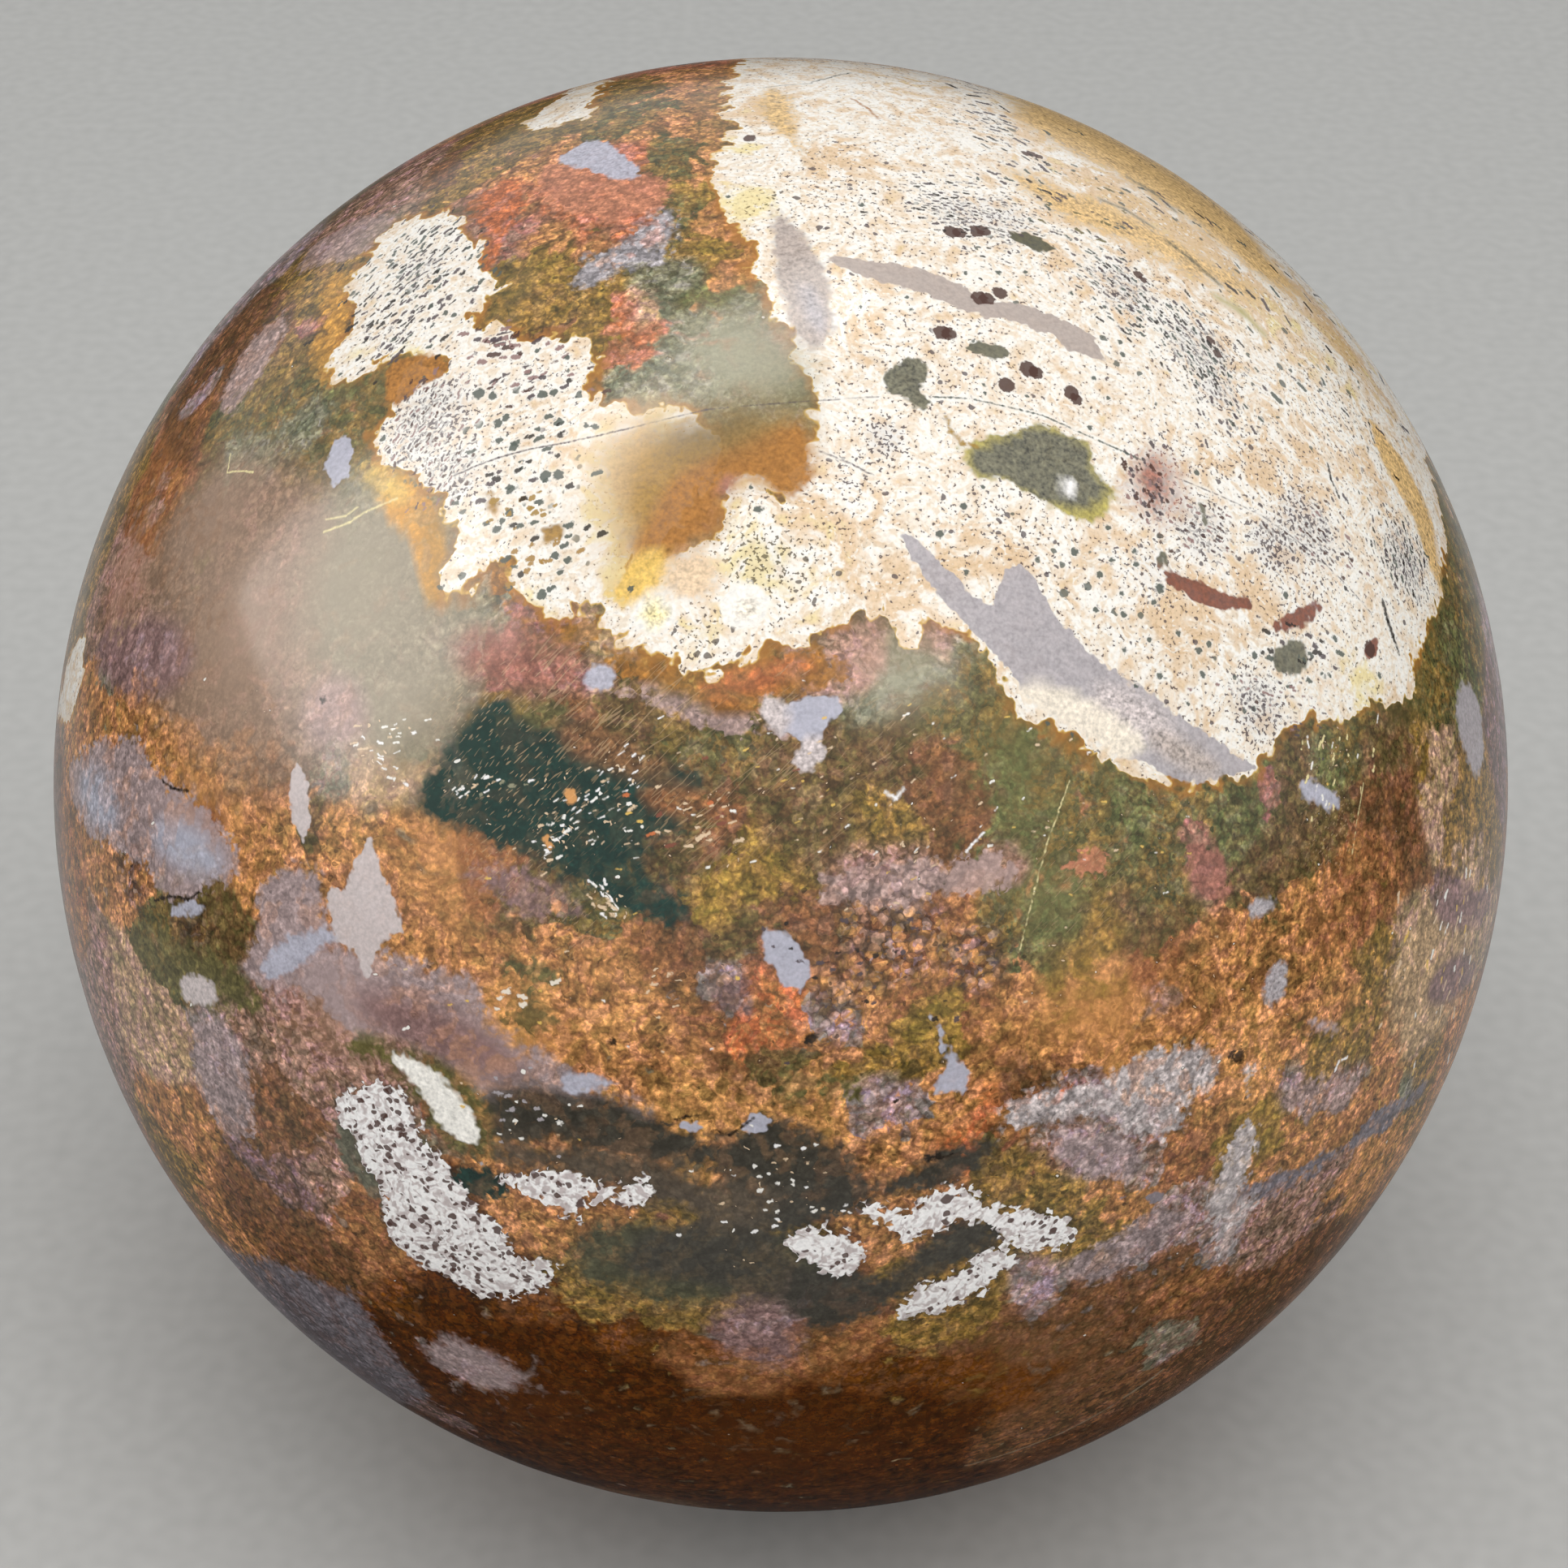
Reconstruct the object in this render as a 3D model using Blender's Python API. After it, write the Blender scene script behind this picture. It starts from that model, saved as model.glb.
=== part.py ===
"""Polished ocean jasper sphere.

One solid ball of stone, turned round +Z, with a small flat ground at its base so that it stands
without a stand. Metres, +Z up, with the origin at the centre of that flat.
"""

import math

import bmesh
import bpy

# Driving dimensions.
DIAMETER = 0.080
FOOT_DIAMETER = 0.0092

# Fineness of the turned surface.
SEGMENTS = 96  # round +Z
RINGS = 46  # from the edge of the flat to the top

# The stone's mean colour in linear light, and its polish.
STONE_COLOUR = (0.33, 0.20, 0.105, 1.0)
STONE_ROUGHNESS = 0.12
STONE_METALLIC = 0.0

MERGE_DISTANCE = 1e-6
SHARPEST_SMOOTH_ANGLE = math.radians(6)  # between the 4 degrees of two rings and the flat's 8

RADIUS = DIAMETER / 2
FOOT_RADIUS = FOOT_DIAMETER / 2
CENTRE_HEIGHT = math.sqrt(RADIUS**2 - FOOT_RADIUS**2)


def clear_scene():
    """Removes whatever the open file holds."""
    for thing in list(bpy.data.objects):
        bpy.data.objects.remove(thing, do_unlink=True)


def stone_material():
    """Glossy brown stone."""
    material = bpy.data.materials.new("jasper")
    material.use_nodes = True
    shader = material.node_tree.nodes["Principled BSDF"]
    shader.inputs["Base Color"].default_value = STONE_COLOUR
    shader.inputs["Roughness"].default_value = STONE_ROUGHNESS
    shader.inputs["Metallic"].default_value = STONE_METALLIC
    return material


def meridian():
    """Points of the ball's outline, from the edge of the flat round to the top."""
    foot_angle = math.asin(FOOT_RADIUS / RADIUS)
    points = []
    for ring in range(RINGS + 1):
        angle = foot_angle + (math.pi - foot_angle) * ring / RINGS
        points.append((RADIUS * math.sin(angle), 0.0, CENTRE_HEIGHT - RADIUS * math.cos(angle)))
    return points


def turned_ball(name):
    """Spins the meridian round +Z and closes it with the flat."""
    ball = bmesh.new()
    line = [ball.verts.new(point) for point in meridian()]
    edges = [ball.edges.new(pair) for pair in zip(line, line[1:])]
    bmesh.ops.spin(
        ball,
        geom=line + edges,
        cent=(0.0, 0.0, 0.0),
        axis=(0.0, 0.0, 1.0),
        angle=math.tau,
        steps=SEGMENTS,
    )
    bmesh.ops.remove_doubles(ball, verts=ball.verts, dist=MERGE_DISTANCE)
    rim = [edge for edge in ball.edges if edge.is_boundary]
    bmesh.ops.edgeloop_fill(ball, edges=rim)
    bmesh.ops.recalc_face_normals(ball, faces=ball.faces)
    mesh = bpy.data.meshes.new(name)
    ball.to_mesh(mesh)
    ball.free()
    mesh.shade_smooth()
    mesh.set_sharp_from_angle(angle=SHARPEST_SMOOTH_ANGLE)
    return mesh


def make_sphere():
    """The one piece: the polished ball standing on its flat."""
    mesh = turned_ball("sphere")
    mesh.materials.append(stone_material())
    sphere = bpy.data.objects.new("sphere", mesh)
    bpy.context.scene.collection.objects.link(sphere)
    return sphere


clear_scene()
make_sphere()
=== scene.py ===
"""Looks of the polished ocean jasper sphere: its ball, the markings of the stone, the polish and a studio.

The markings are laid by hand. Outlines and marks are points of the photograph, in its own pixels, that are
carried on to the ball along the camera's rays. Past the ball's silhouette the same pixels go on round it.
"""

import math
import random
from collections import namedtuple

import bpy
import numpy as np
from mathutils import Matrix, Vector, noise
from mathutils.kdtree import KDTree


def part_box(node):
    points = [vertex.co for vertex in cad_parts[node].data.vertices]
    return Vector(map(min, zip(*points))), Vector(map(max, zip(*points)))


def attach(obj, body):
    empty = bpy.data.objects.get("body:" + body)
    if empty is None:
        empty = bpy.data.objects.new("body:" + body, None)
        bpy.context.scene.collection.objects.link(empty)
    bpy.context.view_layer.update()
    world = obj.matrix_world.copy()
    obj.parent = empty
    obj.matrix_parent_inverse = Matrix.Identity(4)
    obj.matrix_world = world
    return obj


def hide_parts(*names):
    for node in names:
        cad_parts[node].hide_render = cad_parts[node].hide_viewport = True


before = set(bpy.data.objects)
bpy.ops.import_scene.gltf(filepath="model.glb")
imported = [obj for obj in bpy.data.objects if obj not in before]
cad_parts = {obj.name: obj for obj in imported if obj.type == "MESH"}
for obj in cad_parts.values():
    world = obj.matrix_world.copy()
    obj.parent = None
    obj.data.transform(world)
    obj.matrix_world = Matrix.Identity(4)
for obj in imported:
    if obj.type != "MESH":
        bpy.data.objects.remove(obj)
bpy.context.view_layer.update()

bl_info = {
    "name": "Ocean Jasper Sphere",
    "version": (1, 0, 0),
    "blender": (4, 5, 0),
    "location": "3D View > Sidebar > Jasper",
    "description": "Builds a polished ball of ocean jasper with its markings, and a studio for it",
    "category": "Object",
}

# The ball, from the frame.
BALL_LOW, BALL_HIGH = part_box("sphere")
RADIUS = (BALL_HIGH.x - BALL_LOW.x) / 2
CENTRE = Vector((0.0, 0.0, BALL_HIGH.z - RADIUS))
FOOT_LEVEL = BALL_LOW.z
MM = 0.001
RADIUS_MM = RADIUS / MM

# The photograph and how it looks at the ball.
PHOTO_SIZE = 1932
SILHOUETTE_CENTRE = (962, 967)
SILHOUETTE_RADIUS = 896
CAMERA_ELEVATION = math.radians(38)
CAMERA_DISTANCE = 5.0  # in radii of the ball
BEYOND_PER_PIXEL = math.radians(0.0645)  # how far a pixel past the silhouette goes on round the ball
FOCAL_PIXELS = SILHOUETTE_RADIUS / math.tan(math.asin(1 / CAMERA_DISTANCE))
TOWARDS = np.array([0.0, -math.cos(CAMERA_ELEVATION), math.sin(CAMERA_ELEVATION)])
RIGHT = np.array([1.0, 0.0, 0.0])
UP = np.array([0.0, math.sin(CAMERA_ELEVATION), math.cos(CAMERA_ELEVATION)])

SHARP_PATCH = 0.15  # patches no softer than this keep the corners of their outlines
FAR = 4.0  # millimetres from an edge past which its depth is no longer kept
SEED = 7
BALL_NAME = "jasper_ball"
STONE_IOR = 1.54
PIT_DEPTH = 0.00012
PIT_SPREAD = 1.5
FOOT_MARGIN = 1e-5

# The side that the photograph doesn't show starts past this share of the way to the camera.
HIDDEN_PAST = 0.19
HIDDEN_BLEND = 0.12
HIDDEN_CLOUDS = 60
HIDDEN_GROUNDS = 950
HIDDEN_STRAYING = 0.07
HIDDEN_YELLOW = 0.35
HIDDEN_ZONES = (
    ("deep_brown", "rust", "brown", "rust"),
    ("rust", "brown", "orange", "mauve"),
    ("orange", "rust", "dusky_pink", "brown", "bright_orange"),
    ("olive_brown", "ochre", "orange", "brown"),
    ("dusky_pink", "mauve", "brick", "orange"),
    ("olive", "moss", "green_grey", "ochre"),
    ("salmon", "olive", "tan", "orange"),
)
HIDDEN_CREAM = [
    (200, 30, 9.0), (150, 5, 6.5), (238, -8, 5.0), (110, -25, 4.5), (178, -40, 6.0), (285, -22, 3.5),
    (95, 20, 4.0), (222, 52, 5.0), (40, -50, 2.5),
]
HIDDEN_WHITE = [(190, -12, 6.0), (128, -38, 3.5), (262, 12, 3.0), (300, -45, 4.0), (160, 34, 2.5)]
HIDDEN_STAINS = [
    ("deep_green", 0.9, 0.3, 255, 28, 6.5), ("charcoal", 0.7, 0.3, 190, -18, 8.0),
    ("charcoal", 0.7, 0.3, 120, -45, 6.0), ("mauve", 0.5, 0.45, 225, 10, 6.0),
    ("amber", 0.8, 0.4, 170, 12, 4.5), ("amber", 0.8, 0.4, 100, -5, 3.5),
    ("deep_green", 0.7, 0.25, 60, -35, 3.0), ("olive", 0.6, 0.4, 280, 0, 5.0),
]
HIDDEN_SHARDS = 46
HIDDEN_SPOTS = 900
HIDDEN_CRACKS = 14
HIDDEN_SCRATCHES = 0.35
WILD_POINTS = 48
CLOUD_COLOURS = (
    "mauve", "pale_lilac", "lilac_pink", "olive", "plum", "slate", "brick", "charcoal", "amber", "orange",
    "deep_green", "olive_grey",
)
SHARD_COLOURS = ("chalcedony", "pale_lilac", "slate", "taupe", "lavender", "chalcedony")

# The short dashes and the marks that a face keeps.
DARK = ("near_black", "speck_grey")
GREENISH = ("near_black", "dot_green", "speck_grey")
BROWNISH = ("speck_grey", "spot_brown", "plum")
WHITISH = ("white", "cool_white", "peach")
WARM_WHITE = ("white", "butter", "peach")
DASHES = [
    (1210, 118, 20, -16, 14, 18, 8, DARK),
    (1222, 148, 22, -18, 12, 15, 7, DARK),
    (1240, 185, 28, -24, 10, 11, 6, DARK),
    (1275, 222, 30, -35, 14, 10, 7, GREENISH),
    (1190, 250, 50, -10, 44, 6, 4, DARK),
    (1245, 275, 50, -14, 50, 6, 4, DARK),
    (1365, 345, 34, -36, 60, 8, 5, GREENISH),
    (1410, 390, 30, -38, 50, 8, 5, GREENISH),
    (1470, 425, 42, -52, 90, 9, 5, GREENISH),
    (1500, 480, 30, -60, 50, 9, 5, GREENISH),
    (1150, 245, 26, -8, 60, 8, 4, DARK),
    (1412, 600, 24, -70, 60, 7, 6, BROWNISH),
    (1625, 668, 30, -40, 70, 7, 5, BROWNISH),
    (1490, 655, 30, -30, 50, 6, 5, BROWNISH),
    (1735, 690, 22, -78, 40, 8, 5, DARK),
    (1575, 865, 34, -20, 50, 6, 4, BROWNISH),
    (520, 520, 34, 60, 120, 7, 4, BROWNISH),
    (548, 578, 26, 60, 60, 7, 4, BROWNISH),
    (1440, 240, 90, -36, 26, 14, 8, GREENISH),
    (1560, 330, 80, -42, 22, 14, 8, GREENISH),
    (1640, 440, 80, -52, 22, 14, 8, GREENISH),
    (1350, 250, 60, -30, 24, 9, 7, ("dot_green", "olive")),
    (1732, 690, 26, -78, 60, 9, 5, GREENISH),
    (1690, 600, 50, -74, 22, 8, 4, DARK),
    (1600, 800, 34, -20, 26, 8, 7, GREENISH),
    (500, 330, 40, 46, 90, 10, 5, GREENISH),
    (490, 380, 36, 40, 50, 9, 5, DARK),
    (560, 350, 40, 48, 40, 6, 7, GREENISH),
    (480, 440, 34, 40, 24, 7, 6, GREENISH),
    (640, 560, 44, 20, 30, 7, 8, GREENISH),
    (670, 460, 40, 20, 30, 7, 7, BROWNISH),
    (660, 690, 32, 20, 26, 7, 8, ("dot_green", "near_black", "ochre")),
    (640, 620, 30, 20, 20, 7, 8, ("dot_green", "mustard")),
    (610, 425, 20, 0, 26, 11, 8, BROWNISH),
    (478, 905, 24, 10, 22, 7, 3, WHITISH),
    (470, 940, 16, -30, 12, 7, 3, WHITISH),
    (578, 975, 18, 34, 12, 9, 3, WHITISH),
    (620, 968, 18, 20, 8, 6, 5, ("cool_white", "green_grey")),
    (735, 985, 42, 34, 60, 8, 2.5, WHITISH),
    (690, 1030, 20, 20, 12, 5, 6, WHITISH),
    (748, 1108, 14, -50, 24, 9, 4, WHITISH),
    (800, 1010, 50, 0, 16, 6, 5, WARM_WHITE),
    (870, 990, 60, 20, 16, 11, 5, ("red_brown", "red_orange", "peach")),
    (980, 960, 90, 20, 40, 7, 2.5, WARM_WHITE),
    (1120, 1000, 90, 40, 34, 7, 2.5, WARM_WHITE),
    (1330, 1030, 120, 0, 30, 5, 3, WARM_WHITE),
    (1650, 925, 50, 80, 26, 12, 4, ("yellow_cream", "white")),
    (960, 1470, 60, 0, 34, 4, 5, WHITISH),
    (650, 1370, 50, 0, 26, 4, 5, ("white", "lavender")),
    (640, 1228, 18, 10, 6, 9, 7, ("cream",)),
    (815, 1205, 10, 20, 5, 7, 5, ("peach",)),
    (700, 1270, 120, 0, 20, 4, 4, WARM_WHITE),
    (1775, 1190, 60, 78, 34, 12, 6, WARM_WHITE),
    (1800, 1120, 40, 78, 18, 12, 5, WARM_WHITE),
    (1080, 1190, 90, 0, 30, 5, 6, DARK),
]
DASH_SPREAD = 0.55
DOT_SHARE = 0.75
SPOT_SHARE = 1.2
# What the rock's colour is multiplied by where it turns pink and where it turns olive.
PINKED = (1.03, 0.97, 1.45)
OLIVED = (0.60, 0.72, 0.62)
GROUND_FINENESS = 22.0
GROUND_UNREST = 1.3
GROUND_SHARPNESS = 2
DRIFT_FINENESS = 14.0
DRIFT = 0.9
CRUMBLY_ELSEWHERE = 0.3
PUSH = (0.8, -0.3, 0.7)  # the way that the fine noise pushes the coarser ones
WAVE_FINENESS = 20.0
DASH_LEAN = 8.0
MARKS_PER_FACE = 2
FACE_REACH = 0.62

# The studio. A lamp is a name, the point of the photograph that shows its reflection, its width and
# depth as shares of its distance, its brightness and its colour. The unseen lamps aren't reflected, and
# are a name, the azimuth and elevation that they shine from in degrees, their width and their brightness.
LAMP_DISTANCE = 0.5
UNSEEN_LAMPS = [
    ("overhead lamp", 8, 68, 0.8, 3.25),
    ("left fill", -75, 12, 0.9, 0.55),
    ("right fill", 80, 8, 0.9, 0.45),
]
SCRATCH_LEANS = (math.radians(36), math.radians(47))
SCRATCH_SIZE = (9.0, 0.11, 0.11)
SKY_COLOUR = (1.0, 1.0, 1.0)
HORIZON_LIGHT = 0.60
SKY_RISE = (0.0, 0.9)
BACKDROP_LIGHT = 0.03
HORIZON_BLUR = (-0.08, 0.08)
FAR_FLOOR_LIGHT = 0.30
FAR_FLOOR_FROM = (-0.82, -0.62)
FAR_FLOOR_TO = (-0.45, -0.30)
FLOOR_REACH = 3.0
FLOOR_ROUGHNESS = 0.8
LAMPS = [
    ("left lamp", (455, 730), 0.75, 0.75, 2.9, (1.0, 0.97, 0.93)),
    ("top lamp", (870, 450), 0.9, 0.25, 3.0, (1.0, 0.98, 0.95)),
    ("right lamp", (1120, 830), 0.3, 0.2, 2.5, (1.0, 0.98, 0.95)),
]


def linear(red, green, blue):
    """A display colour of 0 to 255 as scene-linear light."""
    made = []
    for part in (red, green, blue):
        share = part / 255
        made.append(share / 12.92 if share <= 0.04045 else ((share + 0.055) / 1.055) ** 2.4)
    return tuple(made)


# The stone's colours, as the eye sees them in soft daylight.
PALETTE = {
    "white": (243, 239, 231),
    "cool_white": (248, 245, 243),
    "cream": (236, 224, 206),
    "peach": (224, 196, 162),
    "tan": (196, 162, 120),
    "gold_sand": (214, 178, 120),
    "yellow_cream": (234, 218, 160),
    "butter": (226, 186, 96),
    "mustard": (162, 128, 58),
    "ochre": (164, 126, 62),
    "amber": (165, 110, 45),
    "orange": (204, 144, 86),
    "bright_orange": (214, 154, 92),
    "red_orange": (200, 112, 64),
    "rust": (148, 96, 58),
    "brown": (124, 88, 56),
    # Deep brown is partly painted shade where it lies low on the ball.
    "deep_brown": (80, 39, 3),
    "umber": (112, 64, 14),
    "near_black": (36, 28, 20),
    "lichen": (170, 158, 84),
    "shale": (92, 80, 66),
    "dark_olive": (84, 82, 60),
    "olive_brown": (114, 95, 56),
    "olive": (106, 98, 58),
    "olive_grey": (104, 102, 84),
    "moss": (114, 114, 68),
    "green_grey": (146, 142, 116),
    "deep_green": (24, 54, 46),
    "charcoal": (68, 64, 55),
    "slate": (130, 122, 128),
    "chalcedony": (177, 176, 189),
    "lavender": (172, 165, 168),
    "pale_lilac": (200, 188, 186),
    "taupe": (176, 162, 154),
    "mauve": (170, 149, 147),
    "plum": (144, 113, 109),
    "lilac_pink": (176, 148, 140),
    "dusky_pink": (182, 141, 122),
    "salmon": (192, 126, 94),
    "brick": (158, 104, 88),
    "red_brown": (128, 74, 56),
    "spot_brown": (74, 44, 34),
    "speck_grey": (80, 68, 72),
    "dot_green": (80, 88, 80),
    "beige": (152, 140, 118),
    "fawn": (150, 122, 100),
    "honey": (208, 150, 62),
}

# Kinds of ground rock: its colour and the colour that mottles it, the warm kinds first.
GROUND = {
    "orange": ("orange", "rust"),
    "bright_orange": ("bright_orange", "orange"),
    "red_orange": ("red_orange", "orange"),
    "rust": ("rust", "orange"),
    "brown": ("brown", "rust"),
    "deep_brown": ("deep_brown", "umber"),
    "umber": ("umber", "rust"),
    "salmon": ("salmon", "red_orange"),
    "brick": ("brick", "dusky_pink"),
    "tan": ("tan", "dusky_pink"),
    "ochre": ("ochre", "olive_brown"),
    "mustard": ("mustard", "ochre"),
    "olive_brown": ("olive_brown", "brown"),
    "olive": ("olive", "ochre"),
    "moss": ("moss", "olive_brown"),
    "green_grey": ("green_grey", "olive"),
    "dusky_pink": ("dusky_pink", "brown"),
    "mauve": ("mauve", "dusky_pink"),
    "plum": ("plum", "brown"),
    "beige": ("beige", "dusky_pink"),
    "lilac": ("lilac_pink", "rust"),
}
WARM_KINDS = 10

# Where each kind of ground lies: points of the photograph with a reach, all in its pixels.
GROUND_PLACES = {
    "orange": [
        (850, 110, 60), (875, 200, 35), (885, 280, 30), (915, 325, 30), (660, 215, 40), (120, 895, 40),
        (165, 875, 35), (250, 955, 45), (300, 940, 40), (345, 1040, 40), (300, 1080, 40), (150, 1085, 40),
        (410, 1030, 40), (480, 1020, 40), (520, 1115, 50), (600, 1170, 50), (700, 1165, 50),
        (750, 1215, 60), (700, 1280, 50), (790, 1300, 50), (1050, 1235, 45), (1250, 1270, 50),
        (1330, 1240, 70), (1400, 1260, 50), (1470, 1260, 60), (1540, 1180, 50), (1600, 1110, 40),
        (1620, 1230, 60), (1690, 1330, 50), (1120, 1430, 50), (1150, 1380, 50), (1500, 1370, 30),
        (1600, 1400, 50), (1380, 1490, 40), (690, 1500, 35), (1640, 1460, 30), (230, 1400, 50),
        (260, 1490, 40), (660, 300, 25), (720, 320, 22), (1780, 1280, 40),
    ],
    "bright_orange": [
        (640, 1235, 45), (730, 1260, 35), (850, 1335, 45), (960, 1365, 40), (780, 1200, 35), (1000, 1390, 25),
        (1700, 1400, 40), (420, 1010, 35), (1550, 1290, 40), (1660, 1250, 35),
    ],
    "red_orange": [(1180, 1395, 45), (1290, 1370, 30), (970, 1240, 30), (930, 1270, 35)],
    "ochre": [
        (400, 350, 50), (640, 370, 50), (700, 380, 40), (740, 120, 50), (600, 190, 40), (350, 460, 40),
        (620, 880, 30), (870, 860, 40), (1100, 1280, 50), (1080, 1010, 40), (1650, 1290, 50), (1760, 950, 30),
        (1820, 1030, 50), (1340, 1185, 50), (1340, 1510, 50), (1180, 1620, 50), (860, 1600, 50),
        (230, 1450, 50), (1240, 1440, 40), (1700, 1200, 35), (740, 1590, 50), (1760, 1300, 50),
    ],
    "mustard": [
        (860, 230, 30), (872, 310, 32), (680, 330, 30), (950, 1075, 45), (920, 1110, 35), (1140, 1250, 30), (1560, 1390, 40),
        (730, 355, 25),
    ],
    "rust": [
        (200, 640, 50), (330, 960, 40), (600, 1085, 40), (800, 1185, 40), (860, 1240, 40), (1100, 1200, 50),
        (1180, 1160, 40), (1210, 1230, 40), (1640, 1130, 50), (1690, 1080, 40), 
        (1250, 1400, 35), (1450, 1430, 40), (430, 1490, 40), (470, 1560, 40), (900, 1680, 60), (90, 1120, 40),
        (1050, 1670, 50), (1480, 1560, 40), (1430, 1170, 35), (250, 1000, 25), (260, 500, 25),
    ],
    "brown": [
        (560, 205, 30), (640, 435, 25), (240, 530, 30), (230, 680, 40), (300, 440, 50), (250, 790, 40), (700, 930, 40), (900, 1010, 40),
        (850, 1180, 40), (960, 1150, 40), (1040, 1160, 40), (340, 1360, 50), (330, 1510, 50),
        (1250, 1330, 30), (1320, 1640, 60), (1540, 1600, 60), (1420, 1560, 40), (400, 1560, 40),
        (1220, 1640, 45), (1160, 950, 50), (880, 1320, 35), (1710, 1000, 50), (1700, 1500, 60),
        (1300, 1740, 70), (1400, 1880, 130), (1450, 1680, 50),
    ],
    # Deep brown and umber lie low on the ball and round under it: partly the rock's own colour, partly painted shade,
    # and by the lower edge a painted reflection of the dark floor under the ball.
    "deep_brown": [
        (560, 1620, 60), (700, 1680, 90), (900, 1760, 110), (1100, 1750, 100), (600, 1760, 80),
        (1000, 1840, 60), (450, 1650, 50), (780, 1800, 80), (1000, 2050, 200),
        (600, 1950, 150), (1150, 1900, 100),
    ],
    "umber": [
        (1180, 1690, 50), (1260, 1720, 50), (1080, 1690, 45), (900, 1665, 45), (760, 1640, 50), (640, 1600, 45),
        (1330, 1780, 60), (500, 1590, 45), (1240, 1840, 60),
    ],
    "olive_brown": [
        (400, 420, 40), (250, 600, 30), (380, 1000, 35), (660, 1110, 40), (780, 880, 40),
        (850, 990, 50), (1000, 960, 60), (1090, 940, 50), (1000, 1030, 50), (930, 1150, 35), (1130, 880, 40),
        (1560, 1060, 45), (1620, 1000, 50), (1420, 1140, 40), (260, 1140, 40), (1700, 930, 40),
        (620, 1130, 30), (1230, 1430, 30), (950, 1330, 30),
    ],
    "olive": [
        (800, 120, 45), (845, 200, 30), (835, 260, 25), (330, 500, 60),
        (370, 580, 60), (900, 920, 45), (820, 900, 35), (1180, 880, 40), (1300, 960, 50), (1340, 1010, 50),
        (1460, 990, 50), (1660, 900, 40), (1760, 830, 30), (190, 1170, 40), (1250, 1140, 40),
        (1450, 1080, 40), (1810, 760, 40), (730, 1120, 35),
    ],
    "moss": [
        (890, 370, 25), (1230, 930, 45), (1280, 1010, 40), (1300, 1130, 40), (1270, 1170, 30),
        (1400, 1010, 40), (1520, 1010, 40), (1800, 820, 30), (980, 400, 20), (240, 690, 25), (1640, 950, 30), (420, 470, 25),
    ],
    # Green-grey round the three lamps' reflections (near 450,700; 880,430; 1110,840) is partly the rock's own colour
    # and partly painted reflection, the grey haze of the lamps.
    "green_grey": [
        (835, 345, 32), (370, 520, 35), (300, 570, 40), (430, 640, 40), (450, 700, 60), (890, 410, 40), (1120, 830, 50), (860, 440, 40),
        (560, 770, 40), (1080, 860, 30), (130, 860, 25), (1730, 1345, 25), (500, 900, 30), (960, 480, 30),
    ],
    "salmon": [(730, 240, 45), (690, 215, 35), (780, 260, 30), (770, 395, 25), (800, 425, 20), (1190, 1190, 25)],
    "brick": [
        (610, 310, 35), (610, 250, 30), (640, 790, 45), (380, 410, 25),
        (1480, 1080, 25), (1470, 1050, 20), (690, 830, 30), (1560, 990, 20),
    ],
    "dusky_pink": [
        (480, 240, 40), (330, 640, 60), (320, 740, 70), (160, 720, 50), (290, 850, 60), (410, 850, 60),
        (340, 1280, 60), (400, 1260, 40), (390, 1330, 40), (120, 1220, 50), (1070, 1080, 40),
        (1430, 1220, 25), (1640, 1450, 40), (1580, 1500, 50), (200, 620, 30), (1070, 800, 40), (1150, 770, 30),
        (1250, 1060, 20), (100, 1350, 60), (390, 1450, 45),
    ],
    "mauve": [
        (430, 300, 30), (260, 470, 25), (180, 800, 40), (280, 1290, 30), (1100, 1110, 30), (1020, 1250, 25),
        (1100, 1370, 40), (900, 1220, 30), (1360, 1400, 40), (1420, 1540, 35), (930, 1640, 40),
        (1500, 1540, 30), (590, 1680, 35), (1290, 1580, 35), (300, 1570, 40), (1600, 1340, 30),
    ],
    "plum": [(140, 820, 25), (1790, 1110, 30), (1785, 1200, 30), (350, 1440, 40), (1850, 900, 40), (540, 1740, 40)],
    "tan": [
        (790, 385, 22), (1765, 960, 35), (1815, 1060, 40), (180, 1250, 50), (1740, 1170, 30), (1760, 1250, 40), (730, 800, 40), (1820, 1150, 30), (470, 960, 50),
        (150, 780, 25),
    ],
    # Beige lies where the lamps' reflections veil the rock and on the lower right edge: partly the rock's own colour,
    # partly painted reflection.
    "beige": [(480, 790, 70), (420, 740, 60), (520, 850, 50), (940, 440, 30), (400, 920, 50), (1450, 1660, 35)],
    "lilac": [(1310, 1370, 40), (1400, 1430, 40), (1450, 1500, 30), (1650, 1350, 25)],
}

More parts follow.
